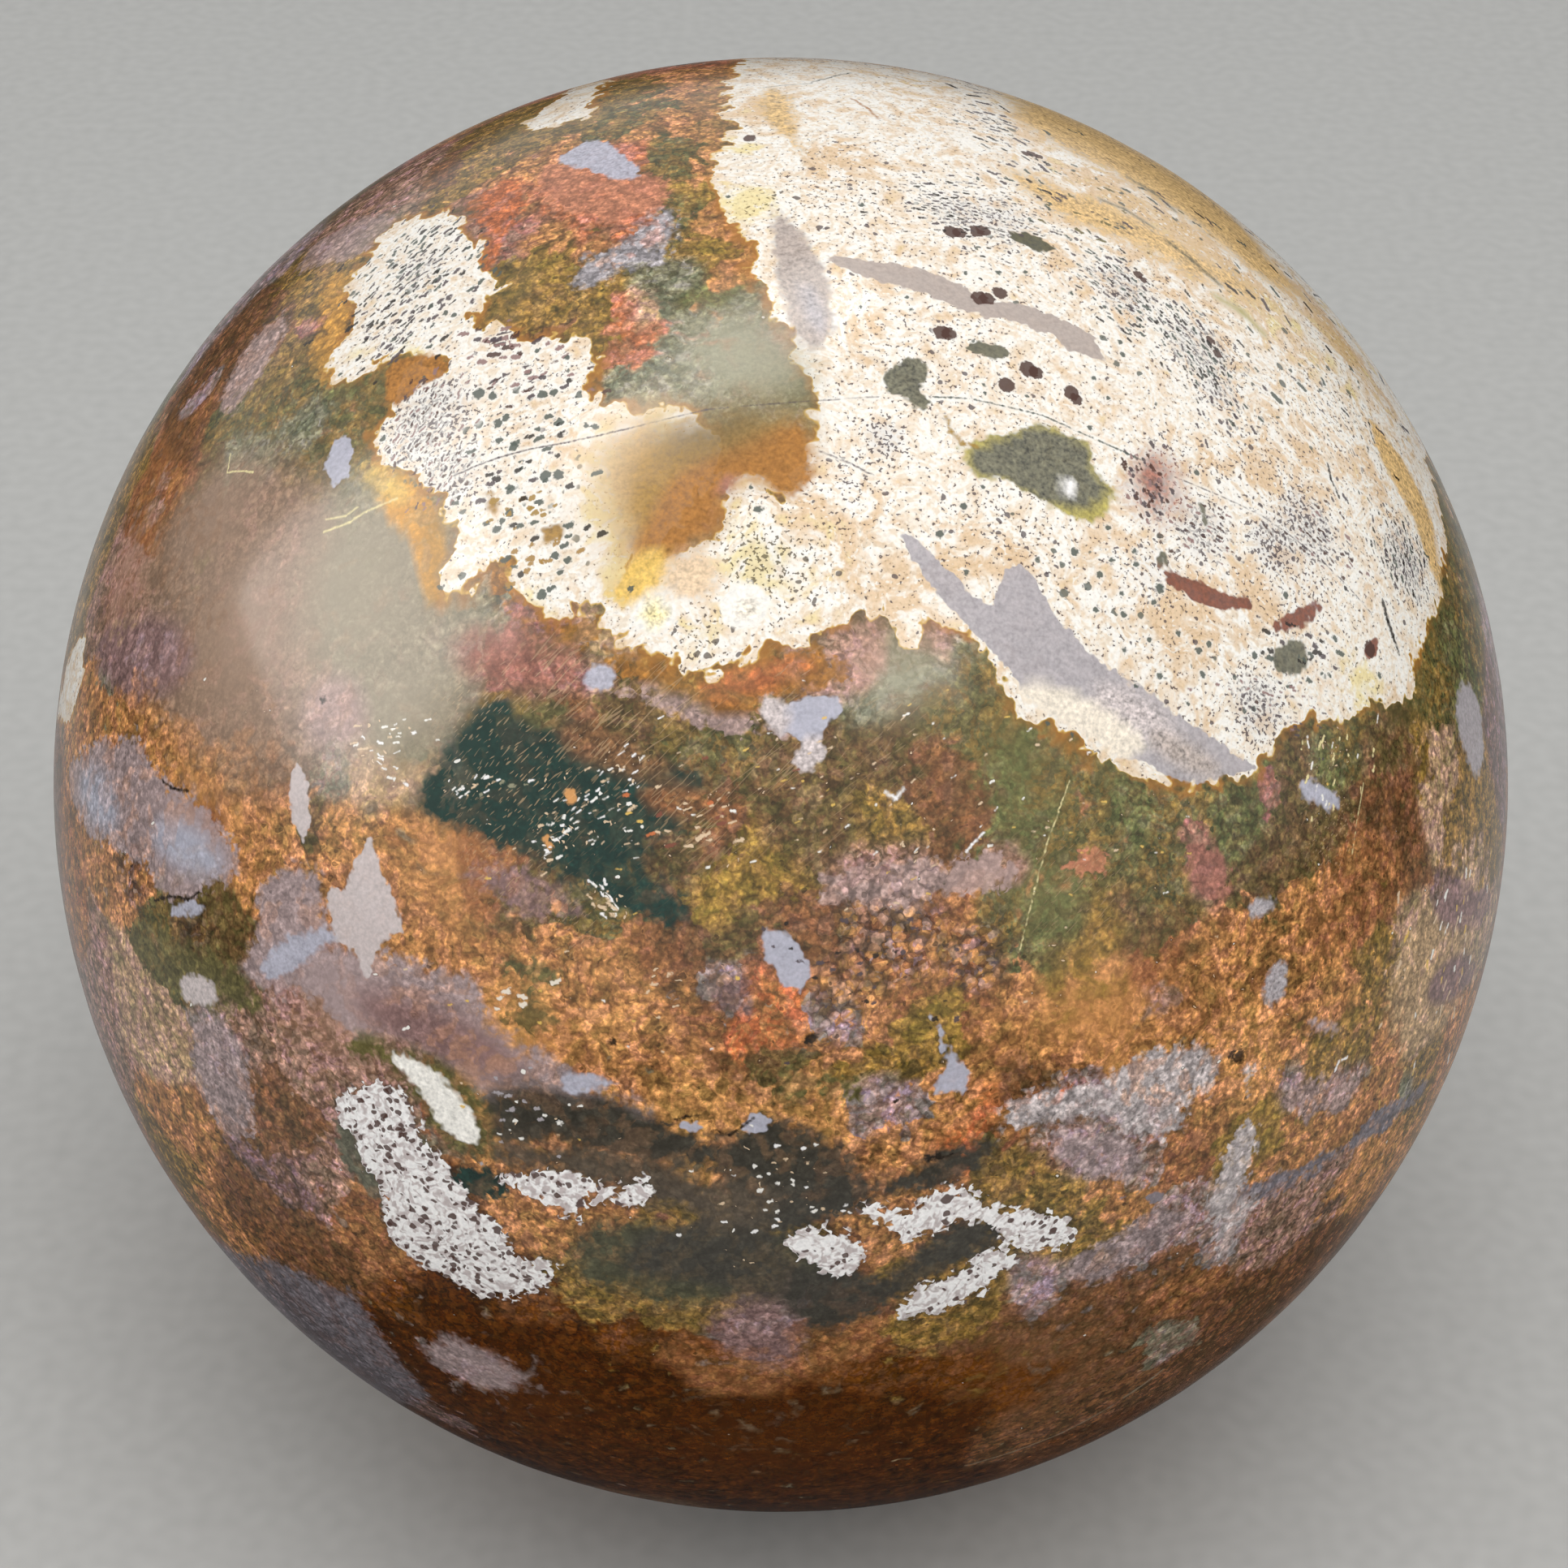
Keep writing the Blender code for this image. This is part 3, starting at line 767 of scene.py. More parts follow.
PEACH_TINTED = [
    (1180, 700, 60, 0.9), (1240, 680, 40, 0.9), (1300, 560, 50, 0.4), (1000, 640, 60, 0.8), (1060, 680, 60, 0.8),
    (1100, 720, 50, 0.7), (960, 610, 30, 0.8), (1350, 600, 60, 0.3), (1550, 560, 80, 0.7), (1560, 760, 60, 0.8),
    (1450, 770, 80, 0.8), (1390, 680, 50, 0.5), (1350, 250, 120, 0.9), (1500, 330, 60, 0.8), (1260, 170, 60, 0.8),
    (1420, 240, 90, 1.0), (960, 150, 40, 0.9), (1080, 420, 60, 0.5), (1300, 320, 60, 0.5), (1380, 370, 50, 0.6),
    (1620, 560, 60, 0.6), (470, 400, 40, 0.6), (670, 530, 50, 0.5), (1700, 600, 60, 0.5), (1060, 330, 60, 0.4),
    (1320, 120, 60, 0.8), (940, 130, 40, 0.7), (1100, 140, 70, 0.5), (1520, 450, 60, 0.4), (1020, 200, 60, 0.75),
]
# Where the tints of the cream run in bands round the ball's silhouette.
BANDED = [
    (1450, 250, 170, 1.0), (1320, 150, 110, 1.0), (1650, 420, 130, 0.9), (1150, 110, 70, 0.6), (1730, 600, 90, 0.6),
    (1560, 360, 150, 0.8),
]
BAND_FINENESS = (24.0, 2.6, 2.6)
BAND_CONTRAST = 2.2
YELLOW_TINTED = [
    (765, 580, 60, 0.9), (755, 640, 50, 0.9), (800, 520, 40, 0.9), (770, 700, 40, 0.9), (925, 250, 40, 1.0),
    (930, 690, 70, 0.7), (860, 790, 40, 0.4), (912, 180, 30, 0.7),
    (1560, 370, 30, 0.5), (940, 700, 60, 0.5), (500, 440, 30, 0.8),
    (440, 430, 30, 0.5), (1680, 840, 50, 0.7), (660, 740, 30, 0.6), (1300, 210, 40, 0.4), (990, 700, 60, 0.4),
]

Mark = namedtuple("Mark", "start end radius colour soft")

# Single marks of the photograph: middle, radius, all in its pixels.
BROWN_SPOTS = [
    (1173, 286, 9), (1182, 287, 8), (1203, 285, 9), (1211, 284, 8), (1207, 367, 9), (1216, 368, 8),
    (1232, 361, 8), (1161, 410, 9), (1169, 411, 8), (1268, 455, 10), (1276, 459, 8), (1240, 474, 9),
    (1320, 484, 9), (1326, 492, 7), (1403, 339, 6), (1409, 345, 5), (1272, 190, 6), (1280, 193, 5),
    (924, 170, 7), (1264, 189, 5), (1492, 420, 6), (1500, 436, 6), (1688, 800, 9),
]
GREEN_DOTS = [
    (1062, 252, 5), (1205, 220, 4), (1240, 220, 5), (1246, 222, 4), (1190, 336, 4), (1230, 336, 5),
    (1263, 335, 4), (1320, 361, 4), (1362, 378, 4), (1060, 378, 3), (1118, 366, 3), (1122, 382, 3),
    (1380, 422, 5), (1384, 437, 5), (1348, 466, 5), (1213, 474, 3), (1213, 484, 3), (1265, 488, 3),
    (1343, 527, 5), (1474, 582, 5), (1210, 600, 4), (1187, 624, 6), (1158, 658, 7), (1190, 706, 5),
    (1325, 680, 7), (1370, 690, 5), (1398, 680, 5), (1400, 695, 5), (1355, 708, 6), (1365, 650, 5),
    (1384, 757, 6), (1350, 751, 5), (1382, 731, 4), (1429, 725, 8), (1422, 742, 5), (1452, 780, 5),
    (1386, 801, 5), (1416, 788, 5), (1477, 802, 6), (1490, 794, 5), (1482, 831, 6), (1584, 733, 6),
    (1463, 867, 4), (1429, 832, 5), (1546, 808, 6), (1545, 873, 5), (935, 628, 7), (925, 600, 4),
    (472, 540, 6), (590, 485, 11), (608, 487, 8), (614, 543, 6), (633, 550, 8), (668, 486, 8),
    (682, 484, 7), (613, 522, 8), (624, 514, 7), (688, 520, 7), (732, 526, 6), (722, 524, 5),
    (672, 586, 10), (688, 585, 9), (628, 632, 8), (618, 642, 6), (600, 645, 5), (668, 733, 9),
    (684, 684, 7), (700, 690, 6), (690, 705, 5), (612, 652, 6), (560, 388, 5), (532, 376, 5),
    (700, 440, 5), (662, 432, 5), (650, 460, 5), (898, 242, 4), (1290, 892, 4), (1320, 905, 4),
    (778, 725, 5), (1400, 845, 4), (1700, 832, 5), (1658, 725, 4), (1365, 490, 4),
]
ORANGE_DOTS = [(702, 978, 7), (704, 985, 6), (674, 1034, 5), (677, 1042, 5)]
DARK_PITS = [(1528, 1302, 9), (1518, 1300, 6), (1000, 1281, 7), (756, 1283, 5), (1156, 1424, 6), (1146, 1427, 5), (398, 862, 4), (996, 1284, 5)]

# Lines of the photograph: colour, width in its pixels, softness in millimetres, points.
LINES = [
    ("speck_grey", 2.0, 0.05, [(560, 586), (587, 574), (614, 564), (650, 554), (700, 545), (740, 536), (775, 528)]),
    ("speck_grey", 1.4, 0.06, [(775, 528), (870, 505), (960, 497), (1021, 493), (1082, 489)]),
    ("dot_green", 2.4, 0.04, [
        (1150, 489), (1193, 491), (1235, 500), (1285, 512), (1327, 531), (1370, 550), (1407, 567),
    ]),
    ("speck_grey", 1.6, 0.05, [
        (1448, 588), (1487, 604), (1517, 617), (1554, 635), (1590, 660), (1625, 688), (1660, 722), (1690, 756),
    ]),
    ("near_black", 2.2, 0.05, [(1238, 286), (1220, 281), (1205, 283)]),
    ("dot_green", 3.0, 0.06, [(1000, 102), (1020, 96), (1048, 90)]),
    ("dot_green", 1.5, 0.06, [(940, 108), (968, 105), (1000, 103)]),
    ("near_black", 4.5, 0.06, [(1636, 572), (1640, 590), (1650, 612)]),
    ("near_black", 7.0, 0.08, [(1704, 742), (1710, 765), (1717, 786)]),
    ("near_black", 4.0, 0.08, [(1717, 786), (1724, 806)]),
    ("spot_brown", 4.0, 0.06, [(1556, 645), (1568, 660)]),
    ("olive_grey", 7.0, 0.08, [(1480, 622), (1486, 645)]),
    ("near_black", 3.0, 0.06, [(1686, 518), (1690, 536), (1694, 546)]),
    ("amber", 4.0, 0.1, [(1050, 122), (1070, 134), (1082, 146)]),
    ("speck_grey", 2.0, 0.06, [(1010, 556), (1050, 572), (1075, 585)]),
    ("mustard", 5.0, 0.12, [(1166, 514), (1172, 532), (1186, 546), (1204, 550)]),
    ("olive_grey", 5.0, 0.25, [(1356, 246), (1386, 258), (1420, 280)]),
    ("dark_olive", 7.0, 0.25, [(1442, 300), (1468, 320), (1502, 350)]),
    ("olive_grey", 6.0, 0.35, [(1392, 220), (1420, 236), (1448, 260)]),
    ("lichen", 8.0, 0.5, [(1500, 366), (1530, 384), (1556, 410)]),
    ("yellow_cream", 1.6, 0.05, [(1318, 962), (1306, 995), (1290, 1040), (1275, 1095), (1256, 1172)]),
    ("yellow_cream", 1.4, 0.05, [(1680, 965), (1672, 1010), (1666, 1052)]),
    ("yellow_cream", 2.0, 0.05, [(283, 560), (281, 582), (300, 580), (312, 582)]),
    ("yellow_cream", 2.2, 0.08, [(400, 655), (430, 644), (452, 630), (490, 614)]),
    ("yellow_cream", 1.6, 0.08, [(402, 640), (425, 636), (440, 625)]),
    # A pale line along the lower right edge: partly chipped edge, partly painted reflection of the floor.
    ("beige", 3.0, 0.12, [(1190, 1806), (1250, 1788), (1310, 1765), (1370, 1732)]),
    ("beige", 4.0, 0.12, [(1385, 1722), (1420, 1698), (1432, 1688)]),
    ("cool_white", 3.5, 0.06, [(1646, 1318), (1650, 1308), (1660, 1303)]),
    ("cool_white", 2.5, 0.06, [(1190, 1050), (1198, 1040), (1212, 1026)]),
    ("cool_white", 3.5, 0.1, [(1092, 976), (1104, 984), (1112, 972)]),
    ("near_black", 3.0, 0.08, [(1140, 1424), (1160, 1427), (1175, 1421)]),
    ("near_black", 3.5, 0.08, [(200, 962), (215, 972), (232, 974)]),
    ("near_black", 3.5, 0.08, [(190, 1110), (210, 1104), (232, 1108), (245, 1100)]),
    ("near_black", 3.0, 0.08, [(830, 1380), (845, 1376), (862, 1374)]),
    ("near_black", 3.0, 0.08, [(878, 1392), (900, 1398), (915, 1388), (930, 1376)]),
]


def unit(vectors):
    """The vectors, each drawn in to a length of one."""
    return vectors / np.linalg.norm(vectors, axis=-1, keepdims=True)


def on_stone(pixels):
    """Unit directions from the ball's middle to points of the photograph, past its silhouette too."""
    offset = (np.asarray(pixels, float) - SILHOUETTE_CENTRE) * (1, -1)
    reach = np.maximum(np.linalg.norm(offset, axis=-1), 1e-9)
    ray = np.arctan(np.minimum(reach, SILHOUETTE_RADIUS) / FOCAL_PIXELS)
    angle = np.arcsin(np.clip(CAMERA_DISTANCE * np.sin(ray), -1, 1)) - ray
    angle = angle + np.maximum(reach - SILHOUETTE_RADIUS, 0) * BEYOND_PER_PIXEL
    heading = offset / reach[..., None]
    sideways = heading[..., :1] * RIGHT + heading[..., 1:] * UP
    return np.cos(angle)[..., None] * TOWARDS + np.sin(angle)[..., None] * sideways


def millimetres_per_pixel(direction):
    """How much of the ball one pixel of the photograph shows there, across the view."""
    return np.linalg.norm(CAMERA_DISTANCE * TOWARDS - direction) * RADIUS_MM / FOCAL_PIXELS


def rounded(points, steps=3):
    """A closed run of points with a smooth curve drawn through them."""
    points = np.asarray(points, float)
    before, after = np.roll(points, 1, axis=0), np.roll(points, -1, axis=0)
    beyond = np.roll(points, -2, axis=0)
    drawn = []
    for step in range(steps):
        t = step / steps
        drawn.append(0.5 * (
            2 * points + (after - before) * t + (2 * before - 5 * points + 4 * after - beyond) * t**2
            + (3 * points - before - 3 * after + beyond) * t**3
        ))
    return np.stack(drawn, axis=1).reshape(-1, 2)


def flattened(middle, directions):
    """Directions laid flat round a middle, with how much the flat picture is stretched at each."""
    side = unit(np.cross(middle, (0.3, 0.1, 1.0)))
    upward = np.cross(side, middle)
    stretch = 2 / (1 + directions @ middle)
    return np.stack([directions @ side, directions @ upward], axis=-1) * stretch[:, None], stretch


def depth_inside(ring, directions):
    """How deep in millimetres each direction lies inside a closed ring of directions, negative outside."""
    depth = np.full(len(directions), -FAR)
    middle = unit(ring.mean(axis=0))
    spread = np.arccos(np.clip(ring @ middle, -1, 1)).max() + FAR / RADIUS_MM
    near = np.flatnonzero(directions @ middle > math.cos(min(spread, math.pi)))
    corners, _ = flattened(middle, ring)
    spots, stretch = flattened(middle, directions[near])
    gap = np.full(len(near), np.inf)
    inside = np.zeros(len(near), bool)
    for corner, following in zip(corners, np.roll(corners, -1, axis=0)):
        run = following - corner
        rise = spots - corner
        along = np.clip(rise @ run / max(run @ run, 1e-18), 0, 1)
        gap = np.minimum(gap, ((rise - along[:, None] * run) ** 2).sum(axis=1))
        if corner[1] != following[1]:
            spans = (corner[1] > spots[:, 1]) != (following[1] > spots[:, 1])
            inside ^= spans & (rise[:, 0] < run[0] * rise[:, 1] / run[1])
    depth[near] = np.where(inside, 1, -1) * np.sqrt(gap) / stretch * RADIUS_MM
    return np.clip(depth, -FAR, FAR)


def deepest(rings, directions):
    """How deep each direction lies in the ring that holds it best."""
    depth = np.full(len(directions), -FAR)
    for ring in rings:
        depth = np.maximum(depth, depth_inside(ring, directions))
    return depth


def laid_patches(patches, directions):
    """Depth, and softness, grain and colour side by side, of a layer of patches, the later ones on top."""
    depth = np.full(len(directions), -FAR)
    traits = np.zeros((len(directions), 5))
    covered = np.zeros(len(directions))
    for patch in patches:
        own = depth_inside(patch.outline, directions)
        cover = np.clip(0.5 + own / patch.softness, 0, 1)
        touched = (cover > 0) | (own > depth)
        share = np.where(own > depth, 1e-6, 0) + cover
        share = (share / (share + covered * (1 - cover) + 1e-9))[touched, None]
        traits[touched] = (1 - share) * traits[touched] + share * (patch.softness, patch.grain, *tone(patch.colour))
        covered = cover + covered * (1 - cover)
        depth = np.maximum(depth, own)
    return depth, traits


def strength(places, directions):
    """A soft strength of 0 to 1 round places of the photograph."""
    total = np.zeros(len(directions))
    for x, y, reach, most in places:
        centre = on_stone((x, y))
        gap = np.linalg.norm(directions - centre, axis=1) * RADIUS_MM
        total = np.maximum(total, most * np.exp(-(gap / (reach * millimetres_per_pixel(centre))) ** 2))
    return total


def wandered(directions, amount, fineness):
    """The directions pushed about by a slow noise, so that what is laid on them has uneven edges."""
    moved = np.array([noise.turbulence_vector(Vector(d) * fineness, 4, False) for d in directions])
    return unit(directions + moved * amount)


def slow_noise(direction, fineness, layer):
    """A smooth noise of about 0 to 1 over the ball."""
    return min(max(0.5 + noise.noise(Vector(direction) * fineness + Vector((0, 0, 31.0 * layer))), 0.0), 1.0)


def bands(directions, layer):
    """Bands of 0 to 1 that run round the ball's silhouette in the photograph."""
    along = np.column_stack([directions @ TOWARDS, directions @ RIGHT, directions @ UP]) * BAND_FINENESS
    shift = Vector((0.0, 0.0, 41.0 * layer))
    wave = np.array([noise.noise(Vector(place) + shift) for place in along])
    return np.clip(0.5 + BAND_CONTRAST * wave, 0, 1)


def ground_spots(chance):
    """Where each kind of ground lies on the ball: its kind, direction and reach in millimetres."""
    spots = []
    for kind, places in GROUND_PLACES.items():
        for x, y, reach in places:
            middle = on_stone((x, y))
            spots.append((kind, middle, reach * millimetres_per_pixel(middle)))
    for _ in range(HIDDEN_GROUNDS):
        middle = hidden_direction(chance)
        # Lower on the ball the zones come earlier in the list, so the unseen side is darker towards the bottom.
        zone = slow_noise(middle, 1.6, 9) + 0.25 * middle[2]
        kinds = HIDDEN_ZONES[min(int(max(zone, 0) * len(HIDDEN_ZONES)), len(HIDDEN_ZONES) - 1)]
        spots.append((chance.choice(kinds), middle, chance.uniform(0.9, 2.2) ** 1.7))
    return spots


def ground_colours(directions, chance):
    """The warm and the cool rock's colour at each direction, that of their mottling, and the cool rock's share."""
    pushed = wandered(directions, 0.03, 9.0)
    kinds = list(GROUND)
    weights = np.full((len(directions), len(kinds)), 1e-9)
    for kind, middle, reach in ground_spots(chance):
        near = np.flatnonzero(pushed @ middle > math.cos(min(3.5 * reach / RADIUS_MM, 1.5)))
        gap = np.linalg.norm(pushed[near] - middle, axis=1) * RADIUS_MM / reach
        weights[near, kinds.index(kind)] += np.exp(-2.2 * gap**1.6)
    for column in range(len(kinds)):
        swell = np.array([noise.noise(Vector(d) * GROUND_FINENESS + Vector((0, 0, 17.0 * column))) for d in pushed])
        weights[:, column] *= np.exp(GROUND_UNREST * swell)
    best_warm, best_cool = weights[:, :WARM_KINDS].max(axis=1), weights[:, WARM_KINDS:].max(axis=1)
    strong = weights**GROUND_SHARPNESS
    colours = np.array([tone(GROUND[kind][0]) for kind in kinds])
    mottling = np.array([tone(GROUND[kind][1]) for kind in kinds])
    warm = strong[:, :WARM_KINDS] @ colours[:WARM_KINDS] / strong[:, :WARM_KINDS].sum(axis=1, keepdims=True)
    cool = strong[:, WARM_KINDS:] @ colours[WARM_KINDS:] / strong[:, WARM_KINDS:].sum(axis=1, keepdims=True)
    accent = strong @ mottling / strong.sum(axis=1, keepdims=True)
    return warm, cool, accent, best_cool / (best_warm + best_cool)


def facing(azimuth, elevation):
    """The unit direction of a view from an azimuth round the ball and an elevation above the horizon, in degrees."""
    turn, rise = math.radians(azimuth), math.radians(elevation)
    return np.array([math.sin(turn) * math.cos(rise), -math.cos(turn) * math.cos(rise), math.sin(rise)])


def hidden_direction(chance):
    """A random direction on the part of the ball that the photograph doesn't show."""
    while True:
        direction = unit(np.array([chance.gauss(0, 1) for _ in range(3)]))
        if direction @ TOWARDS < HIDDEN_PAST:
            return direction


def wild_ring(middle, reach, slimness, chance):
    """An uneven closed ring of directions round a middle, its reach in millimetres."""
    side = unit(np.cross(middle, [chance.gauss(0, 1) for _ in range(3)]))
    upward = np.cross(middle, side)
    waves = [(count, chance.uniform(0, math.tau), chance.uniform(0.05, 0.5) / count) for count in range(2, 9)]
    ring = []
    for step in range(WILD_POINTS):
        turn = math.tau * step / WILD_POINTS
        swell = 1 + sum(size * math.sin(count * turn + shift) for count, shift, size in waves)
        out = reach / RADIUS_MM * swell
        ring.append(middle + out * (math.cos(turn) * side + math.sin(turn) * slimness * upward))
    return unit(np.array(ring))


def hidden_patches(chance):
    """Patches of the kinds that the front has, strewn over the side that the photograph doesn't show."""
    stains, inlays, creams, whites = [], [], [], []
    for azimuth, elevation, reach in HIDDEN_CREAM:
        creams.append(wild_ring(facing(azimuth, elevation), reach, chance.uniform(0.5, 0.9), chance))
    for azimuth, elevation, reach in HIDDEN_WHITE:
        whites.append(wild_ring(facing(azimuth, elevation), reach, chance.uniform(0.35, 0.7), chance))
    for colour, softness, grain, azimuth, elevation, reach in HIDDEN_STAINS:
        ring = wild_ring(facing(azimuth, elevation), reach, chance.uniform(0.4, 0.9), chance)
        stains.append(Patch(colour, softness, grain, ring))
    for _ in range(HIDDEN_CLOUDS):
        colour = chance.choice(CLOUD_COLOURS)
        ring = wild_ring(hidden_direction(chance), chance.uniform(1.2, 4.5), chance.uniform(0.2, 0.8), chance)
        stains.append(Patch(colour, chance.uniform(0.4, 1.2), chance.uniform(0.3, 0.6), ring))
    for _ in range(HIDDEN_SHARDS):
        colour = chance.choice(SHARD_COLOURS)
        ring = wild_ring(hidden_direction(chance), chance.uniform(0.6, 2.6), chance.uniform(0.15, 0.6), chance)
        inlays.append(Patch(colour, chance.uniform(0.1, 0.5), chance.uniform(0.1, 0.4), ring))
    return stains, inlays, creams, whites


def carried(patches):
    """Patches with their outlines of the photograph carried on to the ball."""
    drawn = []
    for patch in patches:
        outline = patch.outline if patch.softness <= SHARP_PATCH else rounded(patch.outline)
        drawn.append(patch._replace(outline=on_stone(outline)))
    return drawn


def spot(x, y, radius, colour, soft=0.04):
    """A round mark at a point of the photograph, its radius in its pixels."""
    middle = on_stone((x, y))
    return Mark(middle, middle, radius * millimetres_per_pixel(middle), colour, soft)


def line(colour, width, soft, points):
    """Marks end to end along points of the photograph."""
    spots = on_stone(points)
    return [
        Mark(start, end, width / 2 * millimetres_per_pixel(start), colour, soft)
        for start, end in zip(spots, spots[1:])
    ]


def strewn(chance, x, y, reach, tilt, count, longest, width, colours):
    """Short dashes strewn round a point of the photograph, all leaning much the same way."""
    dashes = []
    for _ in range(count):
        middle = np.array([chance.gauss(x, reach), chance.gauss(y, reach * DASH_SPREAD)])
        lean = math.radians(-tilt + chance.gauss(0, DASH_LEAN))
        half = chance.uniform(0.15, 0.5) * longest * np.array([math.cos(lean), math.sin(lean)])
        turned = math.radians(-tilt)
        offset = middle - (x, y)
        middle = np.array([
            x + offset[0] * math.cos(turned) - offset[1] * math.sin(turned),
            y + offset[0] * math.sin(turned) + offset[1] * math.cos(turned),
        ])
        across = chance.uniform(0.5, 1.0) * width
        dashes += line(chance.choice(colours), across, 0.04, [middle - half, middle + half])
    return dashes


def hidden_marks(chance):
    """Spots and short lines for the side that the photograph doesn't show."""
    marks = []
    for _ in range(HIDDEN_SPOTS):
        middle = hidden_direction(chance)
        aside = unit(middle + 0.003 * np.array([chance.gauss(0, 1) for _ in range(3)]))
        colour = chance.choice(("spot_brown", "dot_green", "dot_green", "near_black", "speck_grey"))
        marks.append(Mark(middle, aside, chance.uniform(0.07, 0.28), colour, 0.05))
    for _ in range(HIDDEN_CRACKS):
        here = hidden_direction(chance)
        heading = unit(np.cross(here, [chance.gauss(0, 1) for _ in range(3)]))
        for _ in range(chance.randint(8, 22)):
            heading = unit(heading + 0.25 * np.array([chance.gauss(0, 1) for _ in range(3)]))
            there = unit(here + 0.035 * heading)
            marks.append(Mark(here, there, 0.04, "speck_grey", 0.05))
            here = there
    return marks


def all_marks(chance):
    """Every mark of the stone."""
    marks = [spot(x, y, SPOT_SHARE * radius, "spot_brown") for x, y, radius in BROWN_SPOTS]
    marks += [spot(x, y, DOT_SHARE * radius, "dot_green") for x, y, radius in GREEN_DOTS]
    marks += [spot(*given, "bright_orange", 0.08) for given in ORANGE_DOTS]
    marks += [spot(*given, "near_black", 0.1) for given in DARK_PITS]
    for given in LINES:
        marks += line(*given)
    for given in DASHES:
        marks += strewn(chance, *given)
    return marks + hidden_marks(chance)


def nearest_marks(mesh, marks):
    """For each face the two marks that lie closest, as rows of start, span, look and colour."""
    count = len(mesh.polygons)
    middles = np.empty(count * 3)
    mesh.polygons.foreach_get("center", middles)
    middles = (middles.reshape(-1, 3) - np.array(CENTRE)) / MM
    tree = KDTree(count)
    for index, middle in enumerate(middles):
        tree.insert(middle, index)
    tree.balance()
    closest = np.full((MARKS_PER_FACE, count), np.inf)
    chosen = np.full((MARKS_PER_FACE, count), -1)
    for number, mark in enumerate(marks):
        start, end = mark.start * RADIUS_MM, mark.end * RADIUS_MM
        span = end - start
        reach = np.linalg.norm(span) / 2 + mark.radius + mark.soft + FACE_REACH
        found = np.array([index for _, index, _ in tree.find_range((start + end) / 2, reach)], int)
        if not len(found):
            continue
        rise = middles[found] - start
        along = np.clip(rise @ span / max(span @ span, 1e-12), 0, 1)
        gap = np.linalg.norm(rise - along[:, None] * span, axis=1) - mark.radius
        found, gap = found[gap < FACE_REACH + mark.soft], gap[gap < FACE_REACH + mark.soft]
        first = gap < closest[0, found]
        moved, kept = found[first], found[~first]
        closest[1, moved], chosen[1, moved] = closest[0, moved], chosen[0, moved]
        closest[0, moved], chosen[0, moved] = gap[first], number
        second = gap[~first] < closest[1, kept]
        closest[1, kept[second]], chosen[1, kept[second]] = gap[~first][second], number
    return chosen


def keep(mesh, name, kind, domain, values):
    """Writes an attribute of the mesh."""
    layer = mesh.attributes.new(name, kind, domain)
    flat = np.ascontiguousarray(values, np.float32).ravel()
    layer.data.foreach_set("color" if kind == "FLOAT_COLOR" else "vector", flat)


def with_alpha(colours, alpha=1.0):
    """Colours with a fourth channel."""
    return np.column_stack([colours, np.broadcast_to(alpha, len(colours))])


def keep_marks(mesh, marks):
    """Writes the marks nearest to each face as its attributes."""
    chosen = nearest_marks(mesh, marks)
    start = np.array([mark.start * RADIUS_MM for mark in marks] + [(0, 0, 0)])
    span = np.array([(mark.end - mark.start) * RADIUS_MM for mark in marks] + [(0, 0, 0)])
    inverse = 1 / np.maximum((span**2).sum(axis=1), 1e-6)
    shape = [(mark.radius, mark.soft) for mark in marks] + [(0, 1)]
    look = np.column_stack([inverse, shape])
    colour = np.array([tone(mark.colour) for mark in marks] + [(0, 0, 0)])
    shown = np.array([1.0] * len(marks) + [0.0])
    for slot in range(MARKS_PER_FACE):
        index = chosen[slot]
        keep(mesh, f"mark_start_{slot}", "FLOAT_VECTOR", "FACE", start[index])
        keep(mesh, f"mark_span_{slot}", "FLOAT_VECTOR", "FACE", span[index])
        keep(mesh, f"mark_look_{slot}", "FLOAT_VECTOR", "FACE", look[index])
        keep(mesh, f"mark_colour_{slot}", "FLOAT_COLOR", "FACE", with_alpha(colour[index], shown[index]))


def tone(name):
    """One of the stone's colours, as it is set in the panel."""
    return tuple(getattr(bpy.context.scene.jasper_colours, name))


def directions_of(mesh):
    """Unit directions from the ball's middle to the mesh's points."""
    places = np.empty(len(mesh.vertices) * 3)
    mesh.vertices.foreach_get("co", places)
    return unit(places.reshape(-1, 3) - np.array(CENTRE))


